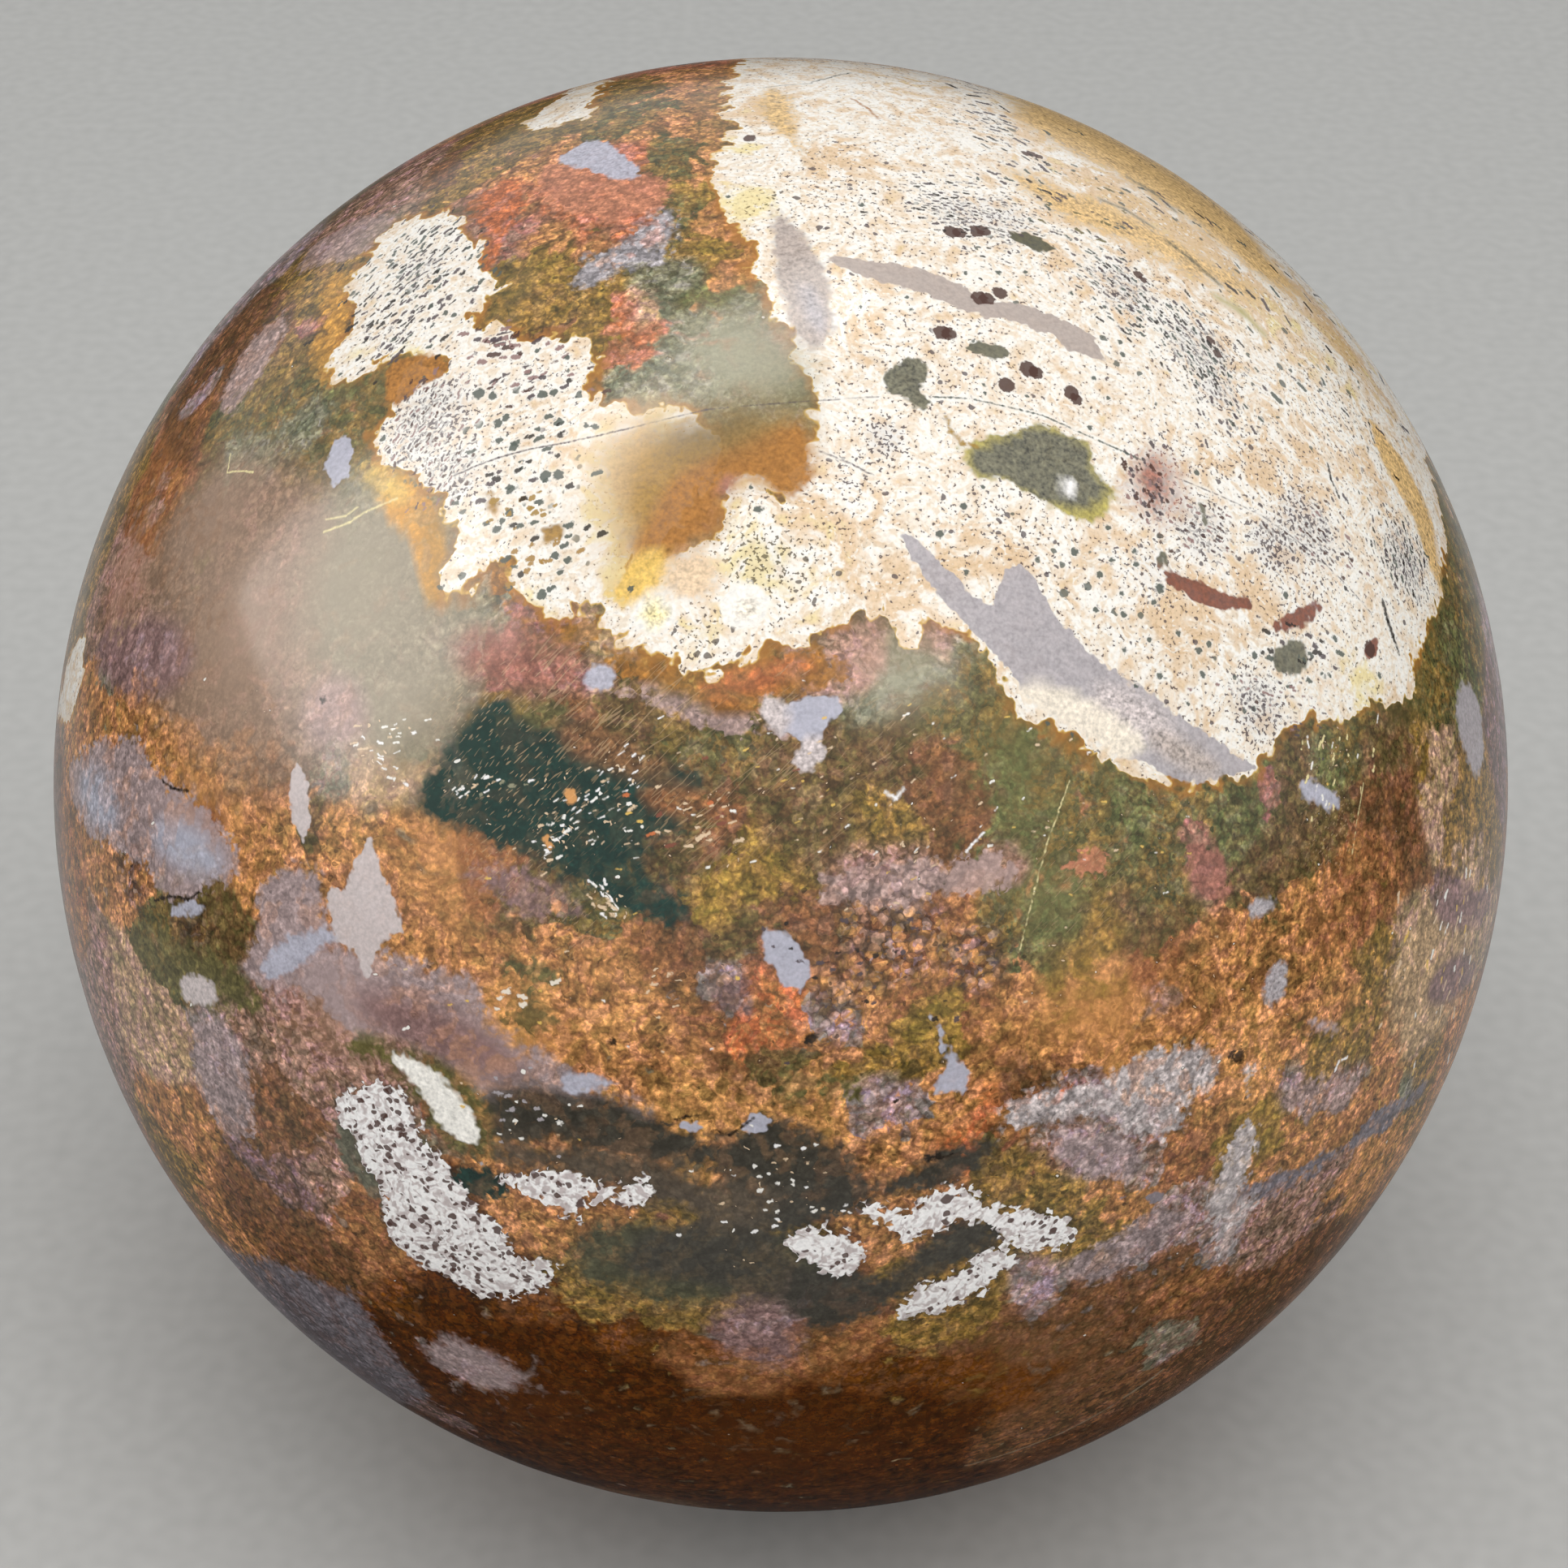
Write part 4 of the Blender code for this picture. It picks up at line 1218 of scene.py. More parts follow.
def ball_tree():
    """Geometry Nodes: an even round ball from the sides of a cube, cut off level at its foot."""
    tree = bpy.data.node_groups.new("Polished ball", "GeometryNodeTree")
    face = tree.interface
    face.new_socket("Geometry", in_out="OUTPUT", socket_type="NodeSocketGeometry")
    for name, kind in (
        ("Radius", "NodeSocketFloat"), ("Middle", "NodeSocketVector"), ("Foot level", "NodeSocketFloat"),
        ("Points per side", "NodeSocketInt"), ("Material", "NodeSocketMaterial"),
    ):
        face.new_socket(name, in_out="INPUT", socket_type=kind)
    nodes = Nodes(tree)
    given = nodes.add("NodeGroupInput").outputs
    points = given["Points per side"]
    cube = nodes.add("GeometryNodeMeshCube", {
        "Size": (2, 2, 2), "Vertices X": points, "Vertices Y": points, "Vertices Z": points,
    })
    place = nodes.add("GeometryNodeInputPosition").outputs[0]
    angle = nodes.vector("MULTIPLY", place, (math.pi / 4,) * 3)
    even = nodes.vector("NORMALIZE", nodes.vector("TANGENT", angle))
    out = nodes.vector("ADD", nodes.scaled(even, given["Radius"]), given["Middle"])
    parts = nodes.add("ShaderNodeSeparateXYZ", {0: out}).outputs
    level = nodes.math("MAXIMUM", parts["Z"], given["Foot level"])
    placed = nodes.add("ShaderNodeCombineXYZ", {"X": parts["X"], "Y": parts["Y"], "Z": level}).outputs[0]
    ball = nodes.add("GeometryNodeSetPosition", {"Geometry": cube.outputs["Mesh"], "Position": placed})
    cut = nodes.add("GeometryNodeTriangulate", {"Mesh": ball.outputs[0]})
    smooth = nodes.add("GeometryNodeSetShadeSmooth", {"Geometry": cut.outputs[0], "Shade Smooth": True})
    real = nodes.add("GeometryNodeRealizeInstances", {"Geometry": smooth.outputs[0]})
    dressed = nodes.add("GeometryNodeSetMaterial", {"Geometry": real.outputs[0], "Material": given["Material"]})
    nodes.add("NodeGroupOutput", {0: dressed.outputs[0]})
    return tree


def set_inputs(modifier, values):
    """Sets the inputs of a Geometry Nodes modifier, each by its socket's identifier."""
    for item in modifier.node_group.interface.items_tree:
        if item.in_out == "INPUT":
            modifier[item.identifier] = values[item.name]


def grown_mesh(tree, values, name):
    """The plain mesh that a Geometry Nodes tree gives."""
    holder = bpy.data.objects.new(name, bpy.data.meshes.new(name))
    bpy.context.scene.collection.objects.link(holder)
    modifier = holder.modifiers.new(name, "NODES")
    modifier.node_group = tree
    set_inputs(modifier, values)
    shown = holder.evaluated_get(bpy.context.evaluated_depsgraph_get())
    mesh = bpy.data.meshes.new_from_object(shown)
    holder.modifiers.remove(modifier)
    bpy.data.objects.remove(holder)
    return mesh


def wear_surface(mesh, marks, waves):
    """Presses shallow natural pits and faint waves into the polished ball, but not into its foot."""
    directions = directions_of(mesh)
    sunk = np.zeros(len(directions))
    for mark in marks:
        gap = np.linalg.norm(directions - mark.start, axis=1) * RADIUS_MM / (mark.radius * PIT_SPREAD)
        sunk = np.maximum(sunk, PIT_DEPTH * np.clip(1 - gap**2, 0, 1))
    sunk += waves * np.array([noise.noise(Vector(direction) * WAVE_FINENESS) for direction in directions])
    places = np.empty(len(directions) * 3)
    mesh.vertices.foreach_get("co", places)
    sunk[places[2::3] < FOOT_LEVEL + FOOT_MARGIN] = 0
    places -= (directions * sunk[:, None]).ravel()
    mesh.vertices.foreach_set("co", places)
    mesh.update()


def keep_fields(mesh, chance):
    """Writes the fields that the stone's material reads: its ground, patches, tints and specks."""
    directions = directions_of(mesh)
    main, second, accent, share = ground_colours(directions, chance)
    stains, inlays, creams, whites = hidden_patches(chance)
    keep(mesh, "ground_main", "FLOAT_COLOR", "POINT", with_alpha(main, share))
    keep(mesh, "ground_second", "FLOAT_COLOR", "POINT", with_alpha(second))
    keep(mesh, "ground_accent", "FLOAT_COLOR", "POINT", with_alpha(accent))
    for name, patches in (("stain", carried(STAINS) + stains), ("inlay", carried(INLAYS) + inlays)):
        depth, traits = laid_patches(patches, directions)
        keep(mesh, name, "FLOAT_VECTOR", "POINT", np.column_stack([depth, traits[:, :2]]))
        keep(mesh, f"{name}_colour", "FLOAT_COLOR", "POINT", with_alpha(traits[:, 2:]))
    hidden = 1 - np.clip((directions @ TOWARDS - HIDDEN_PAST) / HIDDEN_BLEND, 0, 1)
    strayed = wandered(directions, HIDDEN_STRAYING, 6.0) - directions
    strayed = unit(directions + hidden[:, None] * strayed)
    cream = deepest([on_stone(rounded(points)) for points in CREAM_OUTLINES.values()] + creams, strayed)
    white = deepest([on_stone(rounded(points)) for points in WHITE_OUTLINES.values()] + whites, strayed)
    wild = [hidden * np.array([slow_noise(d, 5.0 + 2 * layer, layer) for d in directions]) for layer in range(5)]
    peach = np.maximum(strength(PEACH_TINTED, directions), wild[0])
    yellow = np.maximum(strength(YELLOW_TINTED, directions), HIDDEN_YELLOW * wild[1])
    banded = np.maximum(strength(BANDED, directions), hidden)
    peach = peach * (1 - banded) + 1.2 * banded * bands(directions, 0)
    yellow = yellow * (1 - banded) + 0.6 * banded * bands(directions, 1)
    keep(mesh, "cream", "FLOAT_VECTOR", "POINT", np.column_stack([cream, peach, yellow]))
    fine = np.maximum(strength(FINE_SPECKS, directions), wild[2])
    spots = np.maximum(strength(ROUND_SPOTS, directions), wild[3])
    keep(mesh, "specks", "FLOAT_VECTOR", "POINT", np.column_stack([fine, spots, white]))
    flecks = np.maximum(strength(BRIGHT_FLECKS, directions), wild[4])
    scratches = np.maximum(strength(SCRATCHED, directions), HIDDEN_SCRATCHES * hidden)
    crumbly = np.maximum(strength(CRUMBLY, directions), CRUMBLY_ELSEWHERE * (1 - strength(SMOOTH_AND_SHEEN, directions)))
    keep(mesh, "wear", "FLOAT_VECTOR", "POINT", np.column_stack([flecks, scratches, crumbly]))
    drift = [noise.turbulence_vector(Vector(d) * DRIFT_FINENESS, 3, False) for d in directions]
    keep(mesh, "drift", "FLOAT_VECTOR", "POINT", np.array(drift) * DRIFT)


class Nodes:
    """Adds nodes to a tree. Each way hands back the socket that it makes."""

    def __init__(self, tree):
        self.tree = tree

    def add(self, kind, given=None, **settings):
        """A node with its settings, and its inputs linked or set by name or number."""
        node = self.tree.nodes.new(kind)
        for name, value in settings.items():
            setattr(node, name, value)
        for key, value in (given or {}).items():
            if isinstance(value, bpy.types.NodeSocket):
                self.tree.links.new(value, node.inputs[key])
            else:
                node.inputs[key].default_value = value
        return node

    def math(self, operation, *given):
        """A number worked out from others."""
        return self.add("ShaderNodeMath", dict(enumerate(given)), operation=operation).outputs[0]

    def vector(self, operation, *given):
        """A vector worked out from others."""
        return self.add("ShaderNodeVectorMath", dict(enumerate(given)), operation=operation).outputs[0]

    def measure(self, operation, *given):
        """A number worked out from vectors, such as a length."""
        return self.add("ShaderNodeVectorMath", dict(enumerate(given)), operation=operation).outputs[1]

    def scaled(self, vector, size):
        """A vector made longer or shorter."""
        return self.add("ShaderNodeVectorMath", {0: vector, "Scale": size}, operation="SCALE").outputs[0]

    def step(self, value, low, high):
        """A smooth rise from 0 to 1 as a value goes from low to high."""
        given = {"Value": value, "From Min": low, "From Max": high}
        return self.add("ShaderNodeMapRange", given, interpolation_type="SMOOTHSTEP").outputs[0]

    def fit(self, value, low, high, least, most):
        """A value stretched from one range to another, and held in it."""
        given = {"Value": value, "From Min": low, "From Max": high, "To Min": least, "To Max": most}
        return self.add("ShaderNodeMapRange", given).outputs[0]

    def noise(self, vector, scale, detail=4.0, roughness=0.55, distortion=0.0):
        """Cloudy noise, as a node."""
        given = {
            "Vector": vector, "Scale": scale, "Detail": detail, "Roughness": roughness, "Distortion": distortion,
        }
        return self.add("ShaderNodeTexNoise", given).outputs

    def cells(self, vector, scale, feature="F1", randomness=1.0):
        """Noise of cells, as a node."""
        given = {"Vector": vector, "Scale": scale, "Randomness": randomness}
        return self.add("ShaderNodeTexVoronoi", given, feature=feature).outputs

    def attribute(self, name):
        """An attribute of the mesh."""
        return self.add("ShaderNodeAttribute", attribute_name=name).outputs

    def parts(self, vector):
        """The three numbers of a vector."""
        return self.add("ShaderNodeSeparateXYZ", {0: vector}).outputs

    def mix(self, share, below, above, blend="MIX"):
        """One colour laid over another by a share."""
        node = self.add("ShaderNodeMix", data_type="RGBA", blend_type=blend)
        for index, value in ((0, share), (6, below), (7, above)):
            if isinstance(value, bpy.types.NodeSocket):
                self.tree.links.new(value, node.inputs[index])
            else:
                node.inputs[index].default_value = (*value, 1.0) if index else value
        return node.outputs[2]

    def product(self, *shares):
        """Shares multiplied together."""
        made = shares[0]
        for share in shares[1:]:
            made = self.math("MULTIPLY", made, share)
        return made


def dots(nodes, cell, density, least, most, blur=0.05):
    """Round dots, one to a cell of noise at most: their share of the surface, fewer where the density is low."""
    chance = nodes.parts(cell["Color"])
    size = nodes.fit(chance["Y"], 0.0, 1.0, least, most)
    shape = nodes.step(nodes.math("SUBTRACT", size, cell["Distance"]), -blur, blur)
    return nodes.product(shape, nodes.math("LESS_THAN", chance["X"], density))


def shared_noise(nodes):
    """The noises that all layers share: a dictionary of sockets."""
    place = nodes.add("ShaderNodeTexCoord").outputs["Object"]
    at = nodes.scaled(nodes.vector("SUBTRACT", place, tuple(CENTRE)), 1 / MM)
    fuzz = nodes.math("SUBTRACT", nodes.noise(at, 2.0, 1.0, 0.74)["Fac"], 0.5)
    drift = nodes.attribute("drift")["Vector"]
    pushed = nodes.scaled(PUSH, fuzz)
    ragged = nodes.vector("ADD", nodes.vector("ADD", at, drift), nodes.scaled(pushed, 0.76))
    wide = nodes.math("MULTIPLY", nodes.parts(drift)["X"], 0.7)
    edge = nodes.math("ADD", wide, nodes.math("MULTIPLY", fuzz, 1.25))
    dented = nodes.vector("ADD", at, nodes.scaled(pushed, 0.66))
    lumps = nodes.cells(dented, 1.7)
    grains = nodes.cells(dented, 2.7)
    return {
        "at": at,
        "edge": edge,
        "wide": wide,
        "dented": dented,
        "lumps": lumps,
        "lump": nodes.parts(lumps["Color"]),
        "grains": grains,
        "grain": nodes.parts(grains["Color"]),
        "mid": nodes.noise(ragged, 0.85, 1.0, 0.66)["Fac"],
        "grained": nodes.fit(nodes.noise(ragged, 2.6, 1.0, 0.72)["Fac"], 0.0, 1.0, 0.08, 0.92),
        "fine": nodes.noise(at, 5.4, 1.0, 0.6)["Fac"],
    }


def unrest(nodes, chance, reach):
    """A random number of a cell, about nought and as large as the reach."""
    return nodes.fit(chance, 0.0, 1.0, -reach, reach)


def ground_paint(nodes, shared, crumbly):
    """The rock under all else: two kinds that meet grain by grain, or softly where it is smooth, both mottled."""
    main = nodes.attribute("ground_main")
    second = nodes.attribute("ground_second")["Color"]
    accent = nodes.attribute("ground_accent")["Color"]
    lump, grain = shared["lump"], shared["grain"]
    limit = nodes.fit(main["Alpha"], 0.0, 1.0, 0.25, 0.75)
    limit = nodes.math("ADD", limit, unrest(nodes, lump["X"], 0.05))
    limit = nodes.math("ADD", limit, unrest(nodes, grain["Z"], 0.04))
    rough = nodes.fit(crumbly, 0.0, 0.3, 0.0, 1.0)
    blur = nodes.fit(rough, 0.0, 1.0, 0.30, 0.035)
    island = nodes.step(nodes.math("SUBTRACT", limit, shared["mid"]), nodes.math("MULTIPLY", blur, -1.0), blur)
    paint = nodes.mix(island, main["Color"], second)
    mottled = nodes.math("ADD", shared["grained"], unrest(nodes, lump["Y"], 0.10))
    mottled = nodes.product(nodes.step(mottled, 0.47, 0.58), nodes.fit(rough, 0.0, 1.0, 0.2, 0.6))
    paint = nodes.mix(mottled, paint, accent)
    pick = nodes.math("ADD", nodes.math("MULTIPLY", lump["Y"], 0.5), nodes.math("MULTIPLY", grain["X"], 0.5))
    crumb = nodes.mix(nodes.step(pick, 0.34, 0.38), tone("dusky_pink"), tone("bright_orange"))
    crumb = nodes.mix(nodes.step(pick, 0.50, 0.54), crumb, tone("rust"))
    crumb = nodes.mix(nodes.step(pick, 0.64, 0.68), crumb, tone("lilac_pink"))
    crumb = nodes.mix(nodes.step(pick, 0.76, 0.80), crumb, tone("deep_brown"))
    paint = nodes.mix(nodes.math("MULTIPLY", nodes.step(crumbly, 0.4, 0.9), 0.75), paint, crumb)
    hue = nodes.math("ADD", shared["mid"], unrest(nodes, grain["X"], 0.10))
    pinked = nodes.vector("MULTIPLY", paint, PINKED)
    paint = nodes.mix(nodes.product(nodes.step(hue, 0.54, 0.62), rough, 0.6), paint, pinked)
    darkened = nodes.vector("MULTIPLY", paint, OLIVED)
    paint = nodes.mix(nodes.product(nodes.step(hue, 0.46, 0.38), rough, 0.7), paint, darkened)
    strange = nodes.product(nodes.step(lump["Z"], 0.72, 0.80), rough, 0.4)
    paint = nodes.mix(strange, paint, accent)
    light = nodes.product(nodes.step(shared["fine"], 0.56, 0.66), nodes.step(shared["mid"], 0.42, 0.58), rough, 0.25)
    return nodes.mix(light, paint, nodes.scaled(paint, 1.7))


def lay_texture(nodes, shared, paint, crumbly, contrast):
    """Darkens and lightens the rock lump by lump and grain by grain, with dark gaps and pores between them."""
    contrast = nodes.math("MULTIPLY", contrast, nodes.fit(crumbly, 0.0, 0.3, 0.16, 1.0))
    dome = nodes.fit(shared["lumps"]["Distance"], 0.12, 0.65, 0.14, -0.22)
    dome = nodes.math("ADD", 1.0, nodes.product(dome, crumbly))
    shade = nodes.product(
        1.42,
        dome,
        nodes.fit(shared["lump"]["X"], 0.0, 1.0, 0.84, 1.14),
        nodes.fit(shared["grain"]["Y"], 0.0, 1.0, 0.90, 1.10),
        nodes.fit(shared["grains"]["Distance"], 0.08, 0.62, 1.18, 0.66),
        nodes.fit(shared["fine"], 0.41, 0.60, 0.76, 1.18),
        nodes.fit(shared["grained"], 0.38, 0.62, 1.16, 0.80),
        nodes.fit(shared["mid"], 0.35, 0.65, 0.84, 1.14),
    )
    shade = nodes.math("ADD", 1.0, nodes.product(nodes.math("SUBTRACT", shade, 1.0), contrast))
    paint = nodes.scaled(paint, nodes.math("MAXIMUM", shade, 0.12))
    gaps = nodes.product(
        nodes.step(shared["lumps"]["Distance"], 0.49, 0.55), nodes.fit(crumbly, 0.0, 1.0, 0.24, 0.8), contrast,
    )
    pores = nodes.product(nodes.step(shared["grained"], 0.64, 0.69), contrast, 0.6)
    pocks = nodes.product(dots(nodes, shared["grains"], 0.08, 0.18, 0.46), contrast, 0.9)
    dark = nodes.math("MAXIMUM", nodes.math("MAXIMUM", gaps, pores), pocks)
    return nodes.mix(dark, paint, nodes.scaled(paint, 0.25))


def lay_stains(nodes, shared, paint):
    """The patches under the cream, each as soft at its edge as its own field says, and how grained the rock is."""
    stain = nodes.parts(nodes.attribute("stain")["Vector"])
    colour = nodes.attribute("stain_colour")["Color"]
    depth = nodes.math("ADD", stain["X"], nodes.math("MULTIPLY", shared["edge"], 1.1))
    depth = nodes.math("ADD", depth, unrest(nodes, shared["grain"]["Y"], 0.22))
    inside = nodes.step(depth, nodes.math("MULTIPLY", stain["Y"], -0.55), nodes.math("MULTIPLY", stain["Y"], 0.55))
    mottled = nodes.math("ADD", shared["mid"], unrest(nodes, shared["grain"]["Z"], 0.07))
    shown = nodes.math("SUBTRACT", 1.0, nodes.product(stain["Z"], nodes.step(mottled, 0.46, 0.62)))
    paint = nodes.mix(nodes.product(inside, shown), paint, colour)
    calm = nodes.product(inside, nodes.fit(stain["Z"], 0.1, 0.5, 0.5, 0.0))
    return paint, nodes.math("SUBTRACT", 1.0, calm)


def cream_paint(nodes, shared, peach, yellow, fine, spots):
    """The cream rock: white and cream grains, peach and yellow tints, and dark specks."""
    grained = shared["grained"]
    mid = shared["mid"]
    paint = nodes.mix(nodes.step(grained, 0.42, 0.62), tone("white"), tone("cream"))
    warm = nodes.math("MULTIPLY", nodes.step(mid, 0.46, 0.66), 0.5)
    paint = nodes.mix(warm, paint, tone("peach"))
    slow = nodes.math("MULTIPLY", shared["wide"], 0.30)
    peachy = nodes.math("ADD", nodes.math("ADD", mid, slow), nodes.math("MULTIPLY", peach, 0.42))
    peachy = nodes.step(peachy, 0.58, 0.86)
    paint = nodes.mix(peachy, paint, tone("peach"))
    yellowy = nodes.step(nodes.math("ADD", mid, nodes.math("MULTIPLY", yellow, 0.6)), 0.66, 0.98)
    paint = nodes.mix(nodes.math("MULTIPLY", yellowy, 0.85), paint, tone("yellow_cream"))
    tan = nodes.math("MULTIPLY", nodes.step(grained, 0.52, 0.64), nodes.fit(peach, 0.0, 1.0, 0.12, 0.5))
    paint = nodes.mix(tan, paint, tone("tan"))
    gold = nodes.product(nodes.step(peach, 0.80, 1.15), nodes.fit(grained, 0.35, 0.65, 0.4, 0.9))
    paint = nodes.mix(gold, paint, tone("gold_sand"))
    bright = nodes.math("MULTIPLY", nodes.step(grained, 0.42, 0.34), 0.7)
    paint = nodes.mix(bright, paint, tone("white"))
    paint = nodes.scaled(paint, nodes.fit(shared["fine"], 0.35, 0.65, 1.05, 0.93))
    sand = nodes.product(nodes.step(shared["fine"], 0.53, 0.62), nodes.fit(mid, 0.35, 0.65, 0.0, 0.22))
    paint = nodes.mix(sand, paint, tone("tan"))
    dust = nodes.product(nodes.step(shared["fine"], 0.61, 0.67), nodes.step(mid, 0.40, 0.60), 0.22)
    paint = nodes.mix(dust, paint, tone("brown"))
    lilac = nodes.math("MULTIPLY", nodes.step(fine, 0.25, 0.8), 0.3)
    paint = nodes.mix(lilac, paint, tone("lavender"))
    limit = nodes.fit(fine, 0.0, 1.0, 0.70, 0.50)
    worms = nodes.step(nodes.math("SUBTRACT", shared["fine"], limit), -0.012, 0.012)
    dark = nodes.mix(nodes.math("MINIMUM", yellow, 1.0), tone("speck_grey"), tone("olive"))
    paint = nodes.mix(nodes.math("MULTIPLY", worms, 0.85), paint, dark)
    speck = dots(nodes, shared["grains"], nodes.math("MULTIPLY", fine, 0.25), 0.20, 0.50)
    paint = nodes.mix(nodes.math("MULTIPLY", speck, 0.85), paint, dark)
    round_spot = dots(nodes, shared["lumps"], nodes.math("MULTIPLY", spots, 0.4), 0.11, 0.42)
    return nodes.mix(nodes.math("MULTIPLY", round_spot, 0.85), paint, tone("dot_green"))


def lay_cream(nodes, shared, paint, cream, field):
    """The cream rock with its yellow rim and the green band that borders it."""
    lobes = nodes.fit(shared["mid"], 0.3, 0.7, -0.45, 0.45)
    half_way = nodes.math("MULTIPLY", nodes.math("ADD", shared["wide"], shared["edge"]), 0.5)
    depth = nodes.math("ADD", field, nodes.math("ADD", half_way, lobes))
    band = nodes.product(nodes.step(depth, -2.2, -0.9), nodes.step(shared["wide"], -0.2, 0.25), 0.45)
    paint = nodes.mix(band, paint, nodes.mix(0.3, tone("olive"), paint))
    rim = nodes.product(nodes.step(depth, -0.7, -0.2), nodes.step(shared["wide"], 0.25, -0.2), 0.8)
    paint = nodes.mix(rim, paint, tone("amber"))
    glow = nodes.product(nodes.step(depth, -0.14, -0.02), 0.7)
    paint = nodes.mix(glow, paint, tone("butter"))
    inside = nodes.step(depth, -0.05, 0.06)
    return nodes.mix(inside, paint, cream), inside


def lay_inlays(nodes, shared, paint):
    """The patches that lie over the cream, and where there are none."""
    inlay = nodes.parts(nodes.attribute("inlay")["Vector"])
    colour = nodes.attribute("inlay_colour")["Color"]
    uneven = nodes.fit(inlay["Y"], 0.1, 0.6, 0.42, 0.9)
    depth = nodes.math("ADD", inlay["X"], nodes.math("MULTIPLY", shared["edge"], uneven))
    inside = nodes.step(depth, nodes.math("MULTIPLY", inlay["Y"], -0.6), nodes.math("MULTIPLY", inlay["Y"], 0.6))
    grain = nodes.math("ADD", nodes.math("MULTIPLY", shared["fine"], 0.5), nodes.math("MULTIPLY", shared["grained"], 0.5))
    change = nodes.math("MULTIPLY", nodes.math("SUBTRACT", grain, 0.5), nodes.math("MULTIPLY", inlay["Z"], 9.0))
    body = nodes.scaled(colour, nodes.math("ADD", change, 1.0))
    return nodes.mix(nodes.math("MULTIPLY", inside, 0.96), paint, body), nodes.math("SUBTRACT", 1.0, inside)


def lay_white(nodes, shared, paint, field, spots):
    """The cool white rock with brown spots and a ragged edge."""
    depth = nodes.math("ADD", field, nodes.math("MULTIPLY", shared["edge"], 0.65))
    depth = nodes.math("ADD", depth, unrest(nodes, shared["grain"]["Z"], 0.32))
    crowd = nodes.fit(spots, 0.0, 1.0, 0.25, 0.7)
    round_spot = dots(nodes, shared["lumps"], crowd, 0.12, 0.46)
    body = nodes.mix(nodes.step(shared["grained"], 0.45, 0.62), tone("cool_white"), tone("pale_lilac"))
    body = nodes.scaled(body, nodes.fit(shared["fine"], 0.3, 0.7, 1.08, 0.88))
    body = nodes.mix(nodes.math("MULTIPLY", round_spot, 0.92), body, tone("spot_brown"))
    small = dots(nodes, shared["grains"], crowd, 0.20, 0.54)
    body = nodes.mix(nodes.math("MULTIPLY", small, 0.9), body, tone("spot_brown"))
    dark_rim = nodes.product(nodes.step(depth, -0.6, -0.05), 0.45)
    paint = nodes.mix(dark_rim, paint, nodes.scaled(paint, 0.35))
    return nodes.mix(nodes.step(depth, -0.05, 0.08), paint, body)


def lay_marks(nodes, shared, paint, haloed):
    """The single spots and lines, from the two that each face keeps, with a white halo on the cream."""
    here = nodes.vector("ADD", shared["at"], nodes.scaled(nodes.vector("SUBTRACT", shared["dented"], shared["at"]), 0.55))
    gaps, looks, colours = [], [], []
    for slot in range(MARKS_PER_FACE):
        start = nodes.attribute(f"mark_start_{slot}")["Vector"]
        span = nodes.attribute(f"mark_span_{slot}")["Vector"]
        looks.append(nodes.parts(nodes.attribute(f"mark_look_{slot}")["Vector"]))
        colours.append(nodes.attribute(f"mark_colour_{slot}"))
        rise = nodes.vector("SUBTRACT", here, start)
        along = nodes.math("MULTIPLY", nodes.measure("DOT_PRODUCT", rise, span), looks[-1]["X"])
        along = nodes.fit(along, 0.0, 1.0, 0.0, 1.0)
        gaps.append(nodes.math("SUBTRACT", nodes.measure("DISTANCE", rise, nodes.scaled(span, along)), looks[-1]["Y"]))
    for gap, colour in zip(gaps, colours):
        halo = nodes.product(nodes.step(gap, 0.26, 0.02), colour["Alpha"], haloed)
        paint = nodes.mix(halo, paint, tone("white"))
    for gap, look, colour in zip(gaps, looks, colours):
        uneven = nodes.math("MINIMUM", nodes.math("MULTIPLY", look["Y"], 3.2), 0.28)
        uneven = nodes.math("MULTIPLY", nodes.math("SUBTRACT", shared["fine"], 0.5), uneven)
        gap = nodes.math("ADD", gap, uneven)
        inside = nodes.step(gap, look["Z"], nodes.math("MULTIPLY", look["Z"], -1.0))
        paint = nodes.mix(nodes.product(inside, colour["Alpha"], 0.93), paint, colour["Color"])
    return paint


def lay_wear(nodes, shared, paint, wear):
    """Bright flecks in the rock, and fine scratches left by its polishing."""
    limit = nodes.fit(wear["X"], 0.0, 1.0, 0.78, 0.62)
    fleck = nodes.step(nodes.math("SUBTRACT", shared["grained"], limit), 0.0, 0.02)
    paint = nodes.mix(nodes.math("MULTIPLY", fleck, 0.85), paint, tone("peach"))
    density = nodes.product(nodes.fit(wear["X"], 0.0, 1.0, 0.006, 0.11), nodes.step(shared["mid"], 0.44, 0.58))
    crumb = dots(nodes, shared["grains"], density, 0.04, 0.26)
    paint = nodes.mix(nodes.math("MULTIPLY", crumb, 0.9), paint, tone("white"))
    shares = []
    for lean in SCRATCH_LEANS:
        run = math.cos(lean) * RIGHT + math.sin(lean) * UP
        turn = Matrix((run, np.cross(TOWARDS, run), TOWARDS)).transposed().to_euler()
        mapped = nodes.add("ShaderNodeMapping", {
            "Vector": shared["at"], "Rotation": turn, "Scale": SCRATCH_SIZE,
        }, vector_type="TEXTURE").outputs[0]
        shares.append(nodes.step(nodes.noise(mapped, 1.0, 0.0)["Fac"], 0.70, 0.76))
    scratch = nodes.product(nodes.math("MAXIMUM", *shares), wear["Y"], 0.5)
    return nodes.mix(scratch, paint, tone("tan")), scratch


